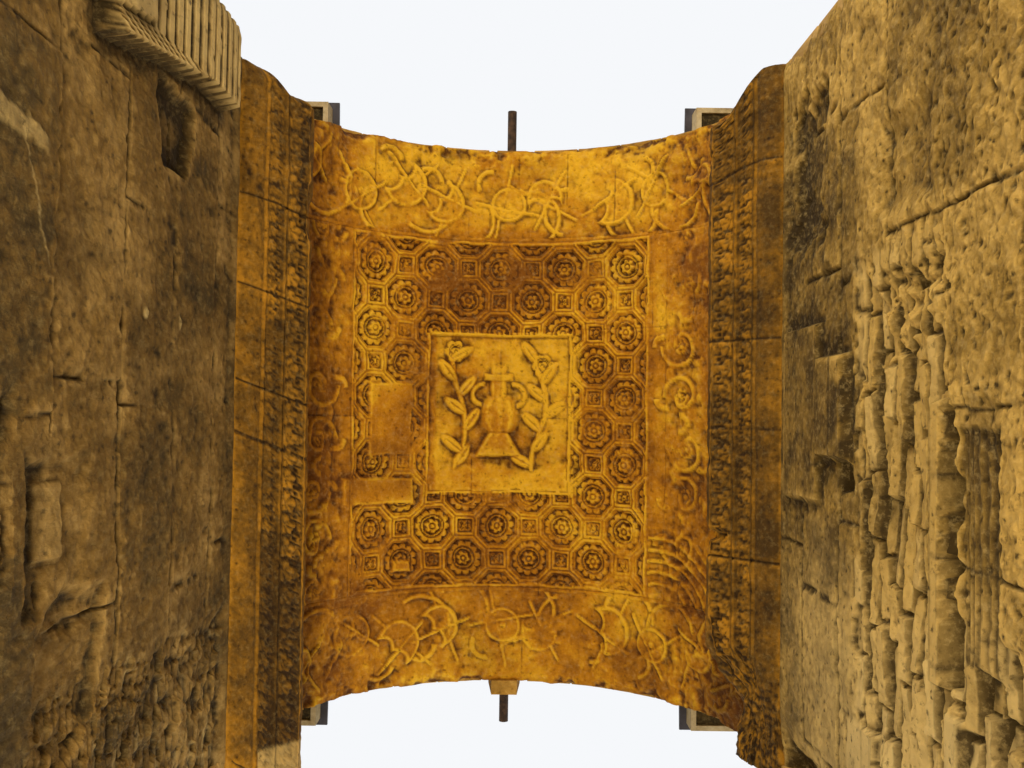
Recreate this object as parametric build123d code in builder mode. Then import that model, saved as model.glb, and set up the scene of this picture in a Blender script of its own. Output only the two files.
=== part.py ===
# Triumphal arch of worn Roman masonry with one barrel-vaulted passage.
# X runs along the front, Y through the passage, +Z up, millimetres.
# The origin is on the ground, at the middle of the passage.
import math
import os

from build123d import *

os.makedirs("parts", exist_ok=True)

# Passage and piers
passage_width = 3850
wall_depth = 5040
pier_width = 4000
impost_bottom = 8400
impost_height = 500
impost_projection = 425
impost_cavetto_reach = 155
impost_cavetto_rise = 150
impost_cavetto_hollow = 42
impost_fillet = 20
impost_leaf_reach = 87
impost_leaf_rise = 80
impost_leaf_swell = 14
impost_listel_reach = 23
impost_listel_rise = 40
impost_broad_swell = 24
impost_band = 100
impost_front_loss = {"left": 140, "right": 0}

# Vault of carved voussoirs
voussoir_depth = 425
coffer_field_half_length = 1640
coffer_field_half_arc = 1445
coffer_pitch = 305
coffer_rows = 10
coffer_columns = 6
coffer_rib = 38
coffer_depth = 50
panel_half_length = 755
panel_half_arc = 695
panel_frame = 32
panel_sinking = 25

# Podiums and half columns
podium_height = 2450
podium_projection = 720
podium_plinth_height = 420
podium_cap_height = 300
podium_moulding = 90
podium_end_margin = 105
column_spacing = 2550
shaft_bottom_radius = 450
shaft_top_radius = 385
base_height = 450
base_plinth_height = 160
base_spread = 130
base_set_back = 20
capital_height = 1000
flute_count = 24
flute_depth = 34
turning_sides = 24
abacus_height = 130
abacus_half_width = 480
abacus_hollow = 60
abacus_corner = 70
necking_height = 60
necking_spread = 35

# Entablature, cornice and roof
ressaut_height = 250
ressaut_projection = 580
ressaut_overhang = 75
soffit_border = 50
soffit_sinking = 45
flashing_thickness = 30
flashing_fall = 60
flashing_overhang = 70
architrave_projection = 90
wall_above_architrave = 710
cornice_bed_height = 130
corona_height = 180
cornice_crown_height = 140
cornice_projection = 420
bed_projection = 105
corona_projection = 335
roof_height = 250
roof_fall = 110
roof_set_back = 150
gutter_width = 220
gutter_depth = 70

# Archivolts, keystones and spouts
archivolt_inset = 120
archivolt_width = 290
archivolt_projection = 60
archivolt_step = 30
keystone_projections = {"front": 70, "back": 130}
keystone_insets = {"front": 270, "back": 0}
keystone_foot = 210
keystone_head = 310
spout_diameter = 100
spout_bore = 70
outlet_bore = 46
spout_reach = 565
spout_tail = 260
collar_diameter = 170
collar_thickness = 55
seat = 0.3

# Levels and planes that follow from the sizes above
vault_radius = passage_width / 2
springing = impost_bottom + impost_height
crown = springing + vault_radius
architrave_bottom = crown + voussoir_depth
architrave_height = ressaut_height + flashing_thickness + flashing_fall
cornice_bottom = architrave_bottom + architrave_height + wall_above_architrave
cornice_height = cornice_bed_height + corona_height + cornice_crown_height
cornice_top = cornice_bottom + cornice_height
cornice_face = wall_depth / 2 + corona_projection
spout_level = cornice_bottom + cornice_bed_height + corona_height / 2
outlet_station = cornice_face - spout_tail + spout_bore + outlet_bore / 2
extrados_radius = vault_radius + voussoir_depth
face = wall_depth / 2
pier_middle = vault_radius + pier_width / 2
half_length = vault_radius + pier_width
arch_length = 2 * half_length
inner_column = pier_middle - column_spacing / 2
outer_column = pier_middle + column_spacing / 2
shaft_bottom = podium_height + base_height
shaft_top = architrave_bottom - capital_height


def save(part, name):
    part.label = name
    export_step(part, f"parts/{name}.step")


def turned(part, side):
    """The same piece on the front, or turned round to the back."""
    return part if side == "front" else part.rotate(Axis.Z, 180)


# Piers, one mass of masonry each, from the ground to the springing
def pier(side_sign):
    with BuildPart() as mass:
        with BuildSketch():
            with Locations((side_sign * pier_middle, 0)):
                Rectangle(pier_width, wall_depth)
        extrude(amount=springing)
    return mass.part


# Masonry over each pier, with half of the vault's back bitten out of it
def upper_masonry(side_sign):
    with BuildPart() as mass:
        with BuildSketch(Plane.XZ.offset(-face)):
            with Locations((side_sign * half_length / 2, springing)):
                Rectangle(half_length, cornice_bottom - springing, align=(Align.CENTER, Align.MIN))
            with Locations((0, springing)):
                Circle(extrados_radius, mode=Mode.SUBTRACT)
        extrude(amount=wall_depth)
    return mass.part


# One ring of voussoirs, between two stations along the passage
def vault_ring(start, end, inner=vault_radius, outer=extrados_radius):
    with BuildPart() as ring:
        with BuildSketch(Plane.XZ.offset(-end)):
            with Locations((0, springing)):
                Circle(outer)
                Circle(inner, mode=Mode.SUBTRACT)
            with Locations((0, springing)):
                Rectangle(2 * outer, outer, align=(Align.CENTER, Align.MAX), mode=Mode.SUBTRACT)
        extrude(amount=end - start)
    return ring.part


# A piece of the ring's soffit: both sides of the crown to half_arc, and both ways to half_length
def soffit_patch(half_arc, patch_half_length, depth):
    angle = math.degrees(half_arc / vault_radius)
    with BuildPart() as patch:
        with BuildSketch(Plane.XZ.offset(-patch_half_length)):
            with BuildLine():
                inner = CenterArc((0, springing), vault_radius - 2 * coffer_depth, 90 - angle, 2 * angle)
                outer = CenterArc((0, springing), vault_radius + depth, 90 - angle, 2 * angle)
                Line(inner @ 0, outer @ 0)
                Line(inner @ 1, outer @ 1)
            make_face()
        extrude(amount=2 * patch_half_length)
    return patch.part


def soffit_plane(arc, station):
    """A plane just inside the passage, square to the soffit, facing out into the stone."""
    angle = arc / vault_radius
    outward = (math.sin(angle), 0, math.cos(angle))
    reach = vault_radius - coffer_depth
    origin = (reach * outward[0], station, springing + reach * outward[2])
    return Plane(origin=origin, x_dir=(math.cos(angle), 0, -math.sin(angle)), z_dir=outward)


# The cutter for all coffers: octagons and squares in turn, as far as the frame of the field
def coffer_cutter():
    octagon_width = coffer_pitch * math.sqrt(2)
    square_width = octagon_width * math.tan(math.pi / 8)
    field_arc = coffer_field_half_arc - coffer_rib
    sinkings = []
    for row in range(coffer_rows):
        station = (row - (coffer_rows - 1) / 2) * coffer_pitch
        for column in range(1 - coffer_columns, coffer_columns):
            arc = column * coffer_pitch
            octagon = (row + column) % 2 == 0
            reach = (octagon_width if octagon else square_width) / 2
            in_field = abs(arc) - reach < field_arc - coffer_rib
            under_panel = abs(arc) + reach < panel_half_arc and abs(station) + reach < panel_half_length
            if in_field and not under_panel:
                sinkings.append(coffer(arc, station, octagon_width if octagon else square_width, octagon))
    with BuildPart() as cutter:
        add(sinkings)
        add(soffit_patch(field_arc, coffer_field_half_length, 2 * coffer_depth), mode=Mode.INTERSECT)
        add(soffit_patch(panel_half_arc, panel_half_length, 2 * coffer_depth), mode=Mode.SUBTRACT)
    return cutter.part


def coffer(arc, station, width, octagon):
    """The prism that sinks one coffer, its mouth narrowed by the rib."""
    with BuildPart() as prism:
        with BuildSketch(soffit_plane(arc, station)):
            if octagon:
                RegularPolygon((width - coffer_rib) / 2, 8, major_radius=False, rotation=22.5)
            else:
                Rectangle(width - coffer_rib, width - coffer_rib)
        extrude(amount=2 * coffer_depth)
    return prism.part


# Middle ring of the vault: coffers round a sunk panel in a raised frame
def coffered_ring():
    sunk_arc = panel_half_arc - panel_frame
    sunk_length = panel_half_length - panel_frame
    with BuildPart() as ring:
        add(vault_ring(-coffer_field_half_length, coffer_field_half_length))
        add(coffer_cutter(), mode=Mode.SUBTRACT)
        add(soffit_patch(sunk_arc, sunk_length, panel_sinking), mode=Mode.SUBTRACT)
    return ring.part


# Impost moulding along the passage side of a pier. The left one was renewed at the back,
# where it still turns the corner and runs on to the column, and has lost its front end;
# the right one's ends are worn flush.
def impost(hand):
    corner = vault_radius
    stop = inner_column - shaft_bottom_radius - seat
    start = (corner, impost_front_loss[hand] - face)
    fillet_top = impost_cavetto_rise + impost_fillet
    leaf_start = impost_cavetto_reach + impost_fillet
    leaf_end = leaf_start + impost_leaf_reach
    leaf_top = fillet_top + impost_leaf_rise
    listel = leaf_end + impost_listel_reach
    listel_top = leaf_top + impost_listel_rise
    band_bottom = impost_height - impost_band
    profile = Plane(origin=(*start, impost_bottom), x_dir=(-1, 0, 0), z_dir=(0, 1, 0))
    with BuildPart() as moulding:
        with BuildLine() as path:
            if hand == "left":
                Polyline(start, (corner, face), (stop, face))
            else:
                Line(start, (corner, face))
        with BuildSketch(profile):
            with BuildLine():
                SagittaArc((0, 0), (impost_cavetto_reach, impost_cavetto_rise), impost_cavetto_hollow)
                Line((impost_cavetto_reach, impost_cavetto_rise), (leaf_start, impost_cavetto_rise))
                Line((leaf_start, impost_cavetto_rise), (leaf_start, fillet_top))
                SagittaArc((leaf_start, fillet_top), (leaf_end, leaf_top), -impost_leaf_swell)
                Line((leaf_end, leaf_top), (listel, leaf_top))
                Line((listel, leaf_top), (listel, listel_top))
                SagittaArc((listel, listel_top), (impost_projection, band_bottom), -impost_broad_swell)
                Line((impost_projection, band_bottom), (impost_projection, impost_height))
                Line((impost_projection, impost_height), (0, impost_height))
                Line((0, impost_height), (0, 0))
            make_face()
        sweep(path=path.wire(), transition=Transition.RIGHT)
    return moulding.part if hand == "right" else mirror(moulding.part, about=Plane.YZ)


# Podium under the two columns of a pier face
def podium():
    near = vault_radius + podium_end_margin
    far = half_length - podium_end_margin
    width = far - near
    moulded_width = width + 2 * podium_moulding
    moulded_depth = podium_projection + podium_moulding
    cap_bottom = podium_height - podium_cap_height
    with BuildPart() as block:
        with BuildSketch():
            with Locations((near - podium_moulding, -face)):
                Rectangle(moulded_width, moulded_depth, align=(Align.MIN, Align.MAX))
        extrude(amount=podium_plinth_height)
        plinth_edges = block.edges().group_by(Axis.Z)[-1]
        chamfer([e for e in plinth_edges if e.center().Y < -face - 1], length=podium_moulding * 0.9)
        with BuildSketch():
            with Locations((near, -face)):
                Rectangle(width, podium_projection, align=(Align.MIN, Align.MAX))
        extrude(amount=podium_height)
        with BuildSketch(Plane.XY.offset(cap_bottom)):
            with Locations((near - podium_moulding, -face)):
                Rectangle(moulded_width, moulded_depth, align=(Align.MIN, Align.MAX))
        extrude(amount=podium_cap_height)
        lip = block.edges().filter_by(lambda e: abs(e.center().Z - cap_bottom) < 1)
        lip = [e for e in lip if e.center().Y < -face - 1 and on_cap_outline(e, near, far)]
        chamfer(lip, length=podium_moulding * 0.9)
    return block.part


def on_cap_outline(edge, near, far):
    """True for the three outer edges of the podium's cap."""
    spot = edge.center()
    side = spot.X < near - 1 or spot.X > far + 1
    return side or spot.Y < -face - podium_projection - 1


# Turned stone in front of the wall: each stretch between two (radius, level) pairs is lofted
# between half rounds of many flats, so that it stays light
def half_turning(*outline):
    with BuildPart() as turning:
        for stretch in zip(outline, outline[1:]):
            for radius, level in stretch:
                with BuildSketch(Plane.XY.offset(level)):
                    with BuildLine():
                        Polyline(*half_round(radius), close=True)
                    make_face()
            loft(ruled=True)
    return turning.part


def half_round(radius):
    """The corners of half a polygon in front of the wall, from its left end to its right end."""
    sides = turning_sides // 2
    return [Vector(radius, 0).rotate(Axis.Z, 180 + 180 * corner / sides) for corner in range(sides + 1)]


# Half column base: square plinth, and two worn rolls with the hollow between them
def column_base():
    bottom = podium_height + base_plinth_height
    top = podium_height + base_height
    rise = top - bottom
    reach = shaft_bottom_radius + base_spread
    with BuildPart() as base:
        with BuildSketch(Plane.XY.offset(podium_height)):
            Rectangle(2 * reach, reach, align=(Align.CENTER, Align.MAX))
        extrude(amount=base_plinth_height)
        add(half_turning(
            (reach - base_set_back, bottom),
            (reach - base_set_back, bottom + 0.35 * rise),
            (shaft_bottom_radius + 0.25 * base_spread, bottom + 0.6 * rise),
            (shaft_bottom_radius + 0.5 * base_spread, top),
        ))
    return base.part


# Fluted half shaft, tapering to the top
def column_shaft():
    with BuildPart() as shaft:
        for level, radius in ((shaft_bottom, shaft_bottom_radius), (shaft_top, shaft_top_radius)):
            with BuildSketch(Plane.XY.offset(level)):
                with BuildLine():
                    Polyline(*fluted_outline(radius), close=True)
                make_face()
        loft(ruled=True)
    return shaft.part


def fluted_outline(radius):
    """Half round outline with flutes, each of three flats between two narrow fillets."""
    pitch = 360 / flute_count
    depth = flute_depth * radius / shaft_bottom_radius
    outline = []
    for flute in range(flute_count // 2):
        middle = 180 + (flute + 0.5) * pitch
        for share, sunk in ((-0.4, 0), (-0.22, depth), (0.22, depth), (0.4, 0)):
            outline.append(Vector(radius - sunk, 0).rotate(Axis.Z, middle + share * pitch))
    return [Vector(-radius, 0), *outline, Vector(radius, 0)]


# Capital: necking ring, flaring bell and an abacus with hollowed sides
def column_capital():
    bell_top = architrave_bottom - abacus_height
    neck_top = shaft_top + necking_height
    corner = abacus_half_width
    notch = abacus_half_width - abacus_corner
    hollow = abacus_half_width - abacus_hollow
    with BuildPart() as capital:
        add(half_turning(
            (shaft_top_radius + necking_spread, shaft_top),
            (shaft_top_radius + necking_spread, neck_top),
            (shaft_top_radius, neck_top),
            (shaft_top_radius + 0.25 * necking_spread, (neck_top + bell_top) / 2),
            (hollow, bell_top),
        ))
        with BuildSketch(Plane.XY.offset(bell_top)):
            with BuildLine():
                Polyline((0, 0), (-hollow, 0))
                RadiusArc((-hollow, 0), (-corner, -notch), -3 * corner)
                Line((-corner, -notch), (-notch, -corner))
                ThreePointArc((-notch, -corner), (0, -hollow), (notch, -corner))
                Line((notch, -corner), (corner, -notch))
                RadiusArc((corner, -notch), (hollow, 0), -3 * corner)
                Line((hollow, 0), (0, 0))
            make_face()
        extrude(amount=abacus_height)
    return capital.part


def on_both_columns(part, sign):
    """One node of a pier face: the same piece at its inner and its outer column."""
    with BuildPart() as pair:
        with Locations((sign * inner_column, -face), (sign * outer_column, -face)):
            add(part)
    return pair.part


# Entablature block over the two columns, its soffit sunk round the seats of the capitals
def ressaut():
    near = vault_radius - ressaut_overhang
    far = half_length + ressaut_overhang
    width = far - near
    middle = (near + far) / 2
    sunk = (width - 2 * soffit_border, ressaut_projection - soffit_border)
    seat_pad = (2 * abacus_half_width, abacus_half_width)
    before_wall = (Align.CENTER, Align.MAX)
    with BuildPart() as block:
        with BuildSketch(Plane.XY.offset(architrave_bottom)):
            with Locations((near, -face)):
                Rectangle(width, ressaut_projection, align=(Align.MIN, Align.MAX))
        extrude(amount=ressaut_height)
        with BuildSketch(Plane.XY.offset(architrave_bottom)):
            with Locations((middle, -face)):
                Rectangle(*sunk, align=before_wall)
            with Locations((inner_column, -face), (outer_column, -face)):
                Rectangle(*seat_pad, align=before_wall, mode=Mode.SUBTRACT)
        extrude(amount=soffit_sinking, mode=Mode.SUBTRACT)
    return block.part


# Lead flashing that caps a block, falling away from the wall
def flashing():
    near = vault_radius - ressaut_overhang - flashing_overhang
    far = half_length + ressaut_overhang + flashing_overhang
    bottom = architrave_bottom + ressaut_height
    front = -face - ressaut_projection - flashing_overhang
    with BuildPart() as sheet:
        with BuildSketch(Plane.YZ.offset(near)):
            with BuildLine():
                Polyline(
                    (-face, bottom),
                    (front, bottom),
                    (front, bottom + flashing_thickness),
                    (-face, bottom + flashing_thickness + flashing_fall),
                    close=True,
                )
            make_face()
        extrude(amount=far - near)
    return sheet.part


# Moulded ring on the face of the arch, cut off at the columns and round the keystone
def archivolt(side):
    limit = inner_column - shaft_bottom_radius - seat
    middle = vault_radius + archivolt_inset + archivolt_width / 2
    outer = middle + archivolt_width / 2
    with BuildPart() as ring:
        add(vault_ring(-face - archivolt_step, -face, vault_radius + archivolt_inset, middle))
        add(vault_ring(-face - archivolt_projection, -face, middle, outer))
        with Locations((0, -face, springing)):
            Box(2 * limit, wall_depth, 2 * outer, mode=Mode.INTERSECT)
        add(keystone(side, seat), mode=Mode.SUBTRACT)
    return ring.part


# Keystone of the face, widening upwards to the architrave. The front one has lost its foot.
def keystone(side, clearance=0):
    foot = keystone_foot / 2 + clearance
    head = keystone_head / 2 + clearance
    bottom = springing + 0.9 * vault_radius
    with BuildPart() as stone:
        with BuildSketch(Plane.XZ.offset(face)):
            with BuildLine():
                Polyline(
                    (-foot, bottom),
                    (foot, bottom),
                    (head, architrave_bottom),
                    (-head, architrave_bottom),
                    close=True,
                )
            make_face()
            with Locations((0, springing)):
                Circle(vault_radius + keystone_insets[side], mode=Mode.SUBTRACT)
        extrude(amount=keystone_projections[side])
    return stone.part


# Architrave on the wall over the passage, between the two blocks
def architrave():
    reach = vault_radius - ressaut_overhang - flashing_overhang - seat
    fascia = architrave_height * 0.42
    fillet_height = architrave_height - 2 * fascia
    with BuildPart() as beam:
        steps = ((0, fascia, 0.4), (fascia, fascia, 0.65), (2 * fascia, fillet_height, 1))
        for level, height, share in steps:
            with BuildSketch(Plane.XY.offset(architrave_bottom + level)):
                with Locations((0, -face)):
                    Rectangle(2 * reach, architrave_projection * share, align=(Align.CENTER, Align.MAX))
            extrude(amount=height)
    return beam.part


# Cornice course over the whole top, moulded on its four sides, bored for the spouts
def cornice():
    layers = (
        (cornice_bed_height, bed_projection),
        (corona_height, corona_projection),
        (cornice_crown_height, cornice_projection),
    )
    level = cornice_bottom
    with BuildPart() as course:
        for height, projection in layers:
            with BuildSketch(Plane.XY.offset(level)):
                Rectangle(arch_length + 2 * projection, wall_depth + 2 * projection)
            extrude(amount=height)
            level += height
        fillet(course.edges().group_by(Axis.Z)[0], radius=0.9 * bed_projection)
        crown_overhang = cornice_projection - corona_projection
        chamfer(course.edges().filter_by(on_crown_lip), length=0.9 * crown_overhang)
        for turn in (0, 180):
            wall_side = Plane.XZ.rotated((0, 0, turn))
            with BuildSketch(wall_side.offset(cornice_face - spout_tail)):
                with Locations((0, spout_level)):
                    Circle(spout_diameter / 2 + seat)
            extrude(amount=2 * spout_tail, mode=Mode.SUBTRACT)
        outlet_depth = cornice_top - spout_level
        hanging = (Align.CENTER, Align.CENTER, Align.MAX)
        with Locations((0, outlet_station, cornice_top), (0, -outlet_station, cornice_top)):
            Cylinder(outlet_bore / 2, outlet_depth, align=hanging, mode=Mode.SUBTRACT)
    return course.part


def on_crown_lip(edge):
    """True for the lower outer edges of the cornice's top moulding."""
    spot = edge.center()
    outer = abs(spot.X) > half_length + corona_projection + 1 or abs(spot.Y) > cornice_face + 1
    return outer and abs(spot.Z - (cornice_top - cornice_crown_height)) < 1


# Roof of stone flags, falling to a gutter across the middle
def roof():
    half = half_length + cornice_projection - roof_set_back
    with BuildPart() as flags:
        with BuildSketch(Plane.XZ.offset(-face - cornice_projection + roof_set_back)):
            with BuildLine():
                Polyline(
                    (-half, cornice_top),
                    (half, cornice_top),
                    (half, cornice_top + roof_height),
                    (gutter_width / 2, cornice_top + roof_height - roof_fall),
                    (gutter_width / 2, cornice_top + roof_height - roof_fall - gutter_depth),
                    (-gutter_width / 2, cornice_top + roof_height - roof_fall - gutter_depth),
                    (-gutter_width / 2, cornice_top + roof_height - roof_fall),
                    (-half, cornice_top + roof_height),
                    close=True,
                )
            make_face()
        extrude(amount=wall_depth + 2 * cornice_projection - 2 * roof_set_back)
        with Locations((0, outlet_station, cornice_top), (0, -outlet_station, cornice_top)):
            Cylinder(outlet_bore / 2, 2 * roof_height, mode=Mode.SUBTRACT)
    return flags.part


# Rainwater spout through the cornice, with a collar against its face
def spout():
    with BuildPart() as pipe:
        with BuildSketch(Plane.XZ.offset(cornice_face - spout_tail)):
            with Locations((0, spout_level)):
                Circle(spout_diameter / 2)
        extrude(amount=spout_tail + spout_reach)
        with BuildSketch(Plane.XZ.offset(cornice_face)):
            with Locations((0, spout_level)):
                Circle(collar_diameter / 2)
        extrude(amount=collar_thickness)
        with BuildSketch(Plane.XZ.offset(cornice_face - spout_tail + spout_diameter - spout_bore)):
            with Locations((0, spout_level)):
                Circle(spout_bore / 2)
        extrude(amount=spout_tail + spout_reach, mode=Mode.SUBTRACT)
        standing = (Align.CENTER, Align.CENTER, Align.MIN)
        with Locations((0, -outlet_station, spout_level)):
            Cylinder(outlet_bore / 2, spout_diameter, align=standing, mode=Mode.SUBTRACT)
    return pipe.part


for hand, sign in (("left", -1), ("right", 1)):
    save(pier(sign), f"{hand}_pier")
    save(upper_masonry(sign), f"{hand}_upper_masonry")
    save(impost(hand), f"{hand}_impost")

save(coffered_ring(), "vault_coffered_ring")

base, shaft, capital = column_base(), column_shaft(), column_capital()
for side in ("front", "back"):
    save(turned(vault_ring(-face, -coffer_field_half_length), side), f"vault_{side}_ring")
    save(turned(archivolt(side), side), f"{side}_archivolt")
    save(turned(keystone(side), side), f"{side}_keystone")
    save(turned(architrave(), side), f"{side}_architrave")
    save(turned(spout(), side), f"{side}_spout")
    for hand, sign in (("left", -1), ("right", 1)):
        place = sign if side == "front" else -sign
        for name, one in (("bases", base), ("shafts", shaft), ("capitals", capital)):
            save(turned(on_both_columns(one, place), side), f"{side}_{hand}_{name}")
        for name, one in (("podium", podium()), ("ressaut", ressaut()), ("flashing", flashing())):
            placed = one if place > 0 else mirror(one, about=Plane.YZ)
            save(turned(placed, side), f"{side}_{hand}_{name}")

save(cornice(), "cornice")
save(roof(), "roof")
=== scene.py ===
import math

import bmesh
import bpy
import numpy as np
from mathutils import Matrix, Vector, noise


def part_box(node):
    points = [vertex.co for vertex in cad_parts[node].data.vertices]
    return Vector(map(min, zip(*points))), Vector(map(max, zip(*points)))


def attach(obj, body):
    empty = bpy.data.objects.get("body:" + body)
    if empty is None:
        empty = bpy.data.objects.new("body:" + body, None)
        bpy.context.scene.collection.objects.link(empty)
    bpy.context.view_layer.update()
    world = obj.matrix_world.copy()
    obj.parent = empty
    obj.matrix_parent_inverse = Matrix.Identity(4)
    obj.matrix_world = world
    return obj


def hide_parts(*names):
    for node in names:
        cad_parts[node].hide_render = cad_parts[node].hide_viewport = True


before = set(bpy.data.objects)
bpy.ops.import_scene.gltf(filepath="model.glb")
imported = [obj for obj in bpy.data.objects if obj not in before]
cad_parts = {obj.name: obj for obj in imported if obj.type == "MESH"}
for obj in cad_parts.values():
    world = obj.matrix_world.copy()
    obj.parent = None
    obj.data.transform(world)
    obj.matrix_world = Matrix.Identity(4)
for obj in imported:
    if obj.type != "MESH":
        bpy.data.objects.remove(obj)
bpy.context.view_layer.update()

# Camera
# A person's camera in the middle of the passage, 1.5 m over the ground, held up to
# the vault. The point straight overhead stands a little right of and below the
# picture's middle, and the picture is turned by a degree.
picture_width, picture_height = 1024, 768
overhead_px = (508, 413.5)
focal_px = 980
roll = math.radians(0.85)
eye_height = 1.5

right = Vector((math.cos(roll), -math.sin(roll), 0))
up = Vector((-math.sin(roll), -math.cos(roll), 0))
lean_right = (picture_width / 2 - overhead_px[0]) / focal_px
lean_up = (overhead_px[1] - picture_height / 2) / focal_px
forward = (Vector((0, 0, 1)) + right * lean_right + up * lean_up).normalized()
back = -forward
right = (right - right.dot(back) * back).normalized()
up = back.cross(right)
camera = bpy.data.objects.new("camera", bpy.data.cameras.new("camera"))
bpy.context.collection.objects.link(camera)
camera.matrix_world = Matrix((
    (right.x, up.x, back.x, 0),
    (right.y, up.y, back.y, 0),
    (right.z, up.z, back.z, eye_height),
    (0, 0, 0, 1),
))
camera.data.sensor_width = 36
camera.data.lens = camera.data.sensor_width * focal_px / picture_width
camera.data.clip_start, camera.data.clip_end = 0.05, 400
bpy.context.scene.camera = camera

# Floor, backdrop and light
# A plain pale floor under the arch, and a pale studio all round. Two soft lamps outside
# light both faces, and three panels near the ground light the vault and walls from below.
scene = bpy.context.scene
scene.view_settings.view_transform = "Standard"


def linear(colour):
    """An sRGB hex colour as the linear colour that a shader's socket takes."""
    parts = [int(colour[i:i + 2], 16) / 255 for i in (1, 3, 5)]
    parts = [p / 12.92 if p <= 0.04045 else ((p + 0.055) / 1.055) ** 2.4 for p in parts]
    return (*parts, 1.0)


def add_node(tree, kind, settings=None, links=None, **inputs):
    """Adds a node, sets its properties and input values, and links what feeds it."""
    made = tree.nodes.new(kind)
    for name, value in (settings or {}).items():
        setattr(made, name, value)
    for name, value in inputs.items():
        made.inputs[name.replace("_", " ")].default_value = value
    for name, source in (links or {}).items():
        tree.links.new(source, made.inputs[name])
    return made


world = bpy.data.worlds.new("studio")
scene.world = world
world.use_nodes = True
tree = world.node_tree
tree.nodes.clear()
backdrop = linear("#F6F8FB")
rays = add_node(tree, "ShaderNodeLightPath")
plain = add_node(tree, "ShaderNodeBackground", Color=backdrop, Strength=0.5)
seen = add_node(tree, "ShaderNodeBackground", Color=backdrop, Strength=1.0)
either = add_node(tree, "ShaderNodeMath", {"operation": "MAXIMUM"},
                  {0: rays.outputs["Is Camera Ray"], 1: rays.outputs["Is Glossy Ray"]})
blend = add_node(tree, "ShaderNodeMixShader", None,
                 {0: either.outputs[0], 1: plain.outputs[0], 2: seen.outputs[0]})
add_node(tree, "ShaderNodeOutputWorld", None, {"Surface": blend.outputs[0]})

floor_size = 120
floor_mesh = bpy.data.meshes.new("floor")
shape = bmesh.new()
bmesh.ops.create_grid(shape, x_segments=1, y_segments=1, size=floor_size / 2)
shape.to_mesh(floor_mesh)
shape.free()
floor = bpy.data.objects.new("floor", floor_mesh)
bpy.context.collection.objects.link(floor)
floor_paint = bpy.data.materials.new("pale_floor")
floor_paint.use_nodes = True
floor_shader = floor_paint.node_tree.nodes["Principled BSDF"]
floor_shader.inputs["Base Color"].default_value = linear("#E4E2DE")
floor_shader.inputs["Roughness"].default_value = 0.9
floor_mesh.materials.append(floor_paint)


def soft_lamp(name, place, target, width, length, power, colour):
    """A broad area lamp at a place, facing a target."""
    lamp = bpy.data.lights.new(name, "AREA")
    lamp.shape = "RECTANGLE"
    lamp.size, lamp.size_y = width, length
    lamp.energy = power
    lamp.color = linear(colour)[:3]
    holder = bpy.data.objects.new(name, lamp)
    bpy.context.collection.objects.link(holder)
    holder.location = place
    holder.rotation_euler = (Vector(target) - Vector(place)).to_track_quat("-Z", "Y").to_euler()


soft_lamp("front_lamp", (-14, -22, 14), (0, 0, 6), 12, 10, 2600, "#FFF6EA")
soft_lamp("back_lamp", (12, 24, 12), (0, 0, 6), 12, 10, 2000, "#FFFFFF")
soft_lamp("vault_lamp", (-0.9, 0.0, 0.25), (0.3, 0, 10), 1.2, 1.2, 265, "#FFEFD2")
soft_lamp("front_bounce", (-0.9, -9.0, 0.1), (-0.9, -8.0, 10.3), 1.6, 1.2, 950, "#FFF0D8")
soft_lamp("back_bounce", (-0.9, 7.0, 0.1), (-0.9, 6.0, 10.5), 1.6, 1.2, 330, "#FFF0D8")


def piece(name, shape, material, slot, *nodes, smooth=True):
    """Turns a bmesh into a piece of the object that rides on it and stands for some nodes."""
    mesh = bpy.data.meshes.new(name)
    shape.to_mesh(mesh)
    shape.free()
    if smooth:
        mesh.shade_smooth()
    made = bpy.data.objects.new(name, mesh)
    bpy.context.collection.objects.link(made)
    mesh.materials.append(material)
    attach(made, "root")
    if nodes:
        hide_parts(*nodes)
    return made


def scatter(points, scale, seed, octaves=4):
    """Seeded fractal noise, about -1 to 1, at each point, in cycles of the given size in metres."""
    shift = Vector((seed * 17.31, seed * 5.77, seed * 29.13))
    out = np.empty(len(points))
    for i, spot in enumerate(points):
        out[i] = noise.fractal((Vector(spot) + shift) / scale, 1.0, 2.0, octaves)
    return out


def chance(*numbers):
    """A repeatable random share, 0 to 1, for each combination of whole numbers."""
    mixed = sum(number * weight for number, weight in zip(numbers, (127.1, 311.7, 74.7)))
    return (np.sin(mixed) * 43758.5453) % 1


def ramp(low, high, value):
    """0 below low, 1 above high, smooth in between."""
    share = np.clip((value - low) / (high - low), 0.0, 1.0)
    return share * share * (3 - 2 * share)


# Stone of the vault
# Golden limestone, dressed and carved in place, then worn by weather. The high spots
# are bleached and dusty yellow with painted highlight, the hollows hold brown dirt and
# painted shade, and old repairs are flat.
fine_share, own_share, pit_share = 0.55, 0.16, 0.22
dark_at, middle_at, light_at = 0.55, 0.76, 1.0
bleached_colour = "#DCBE78"


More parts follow.
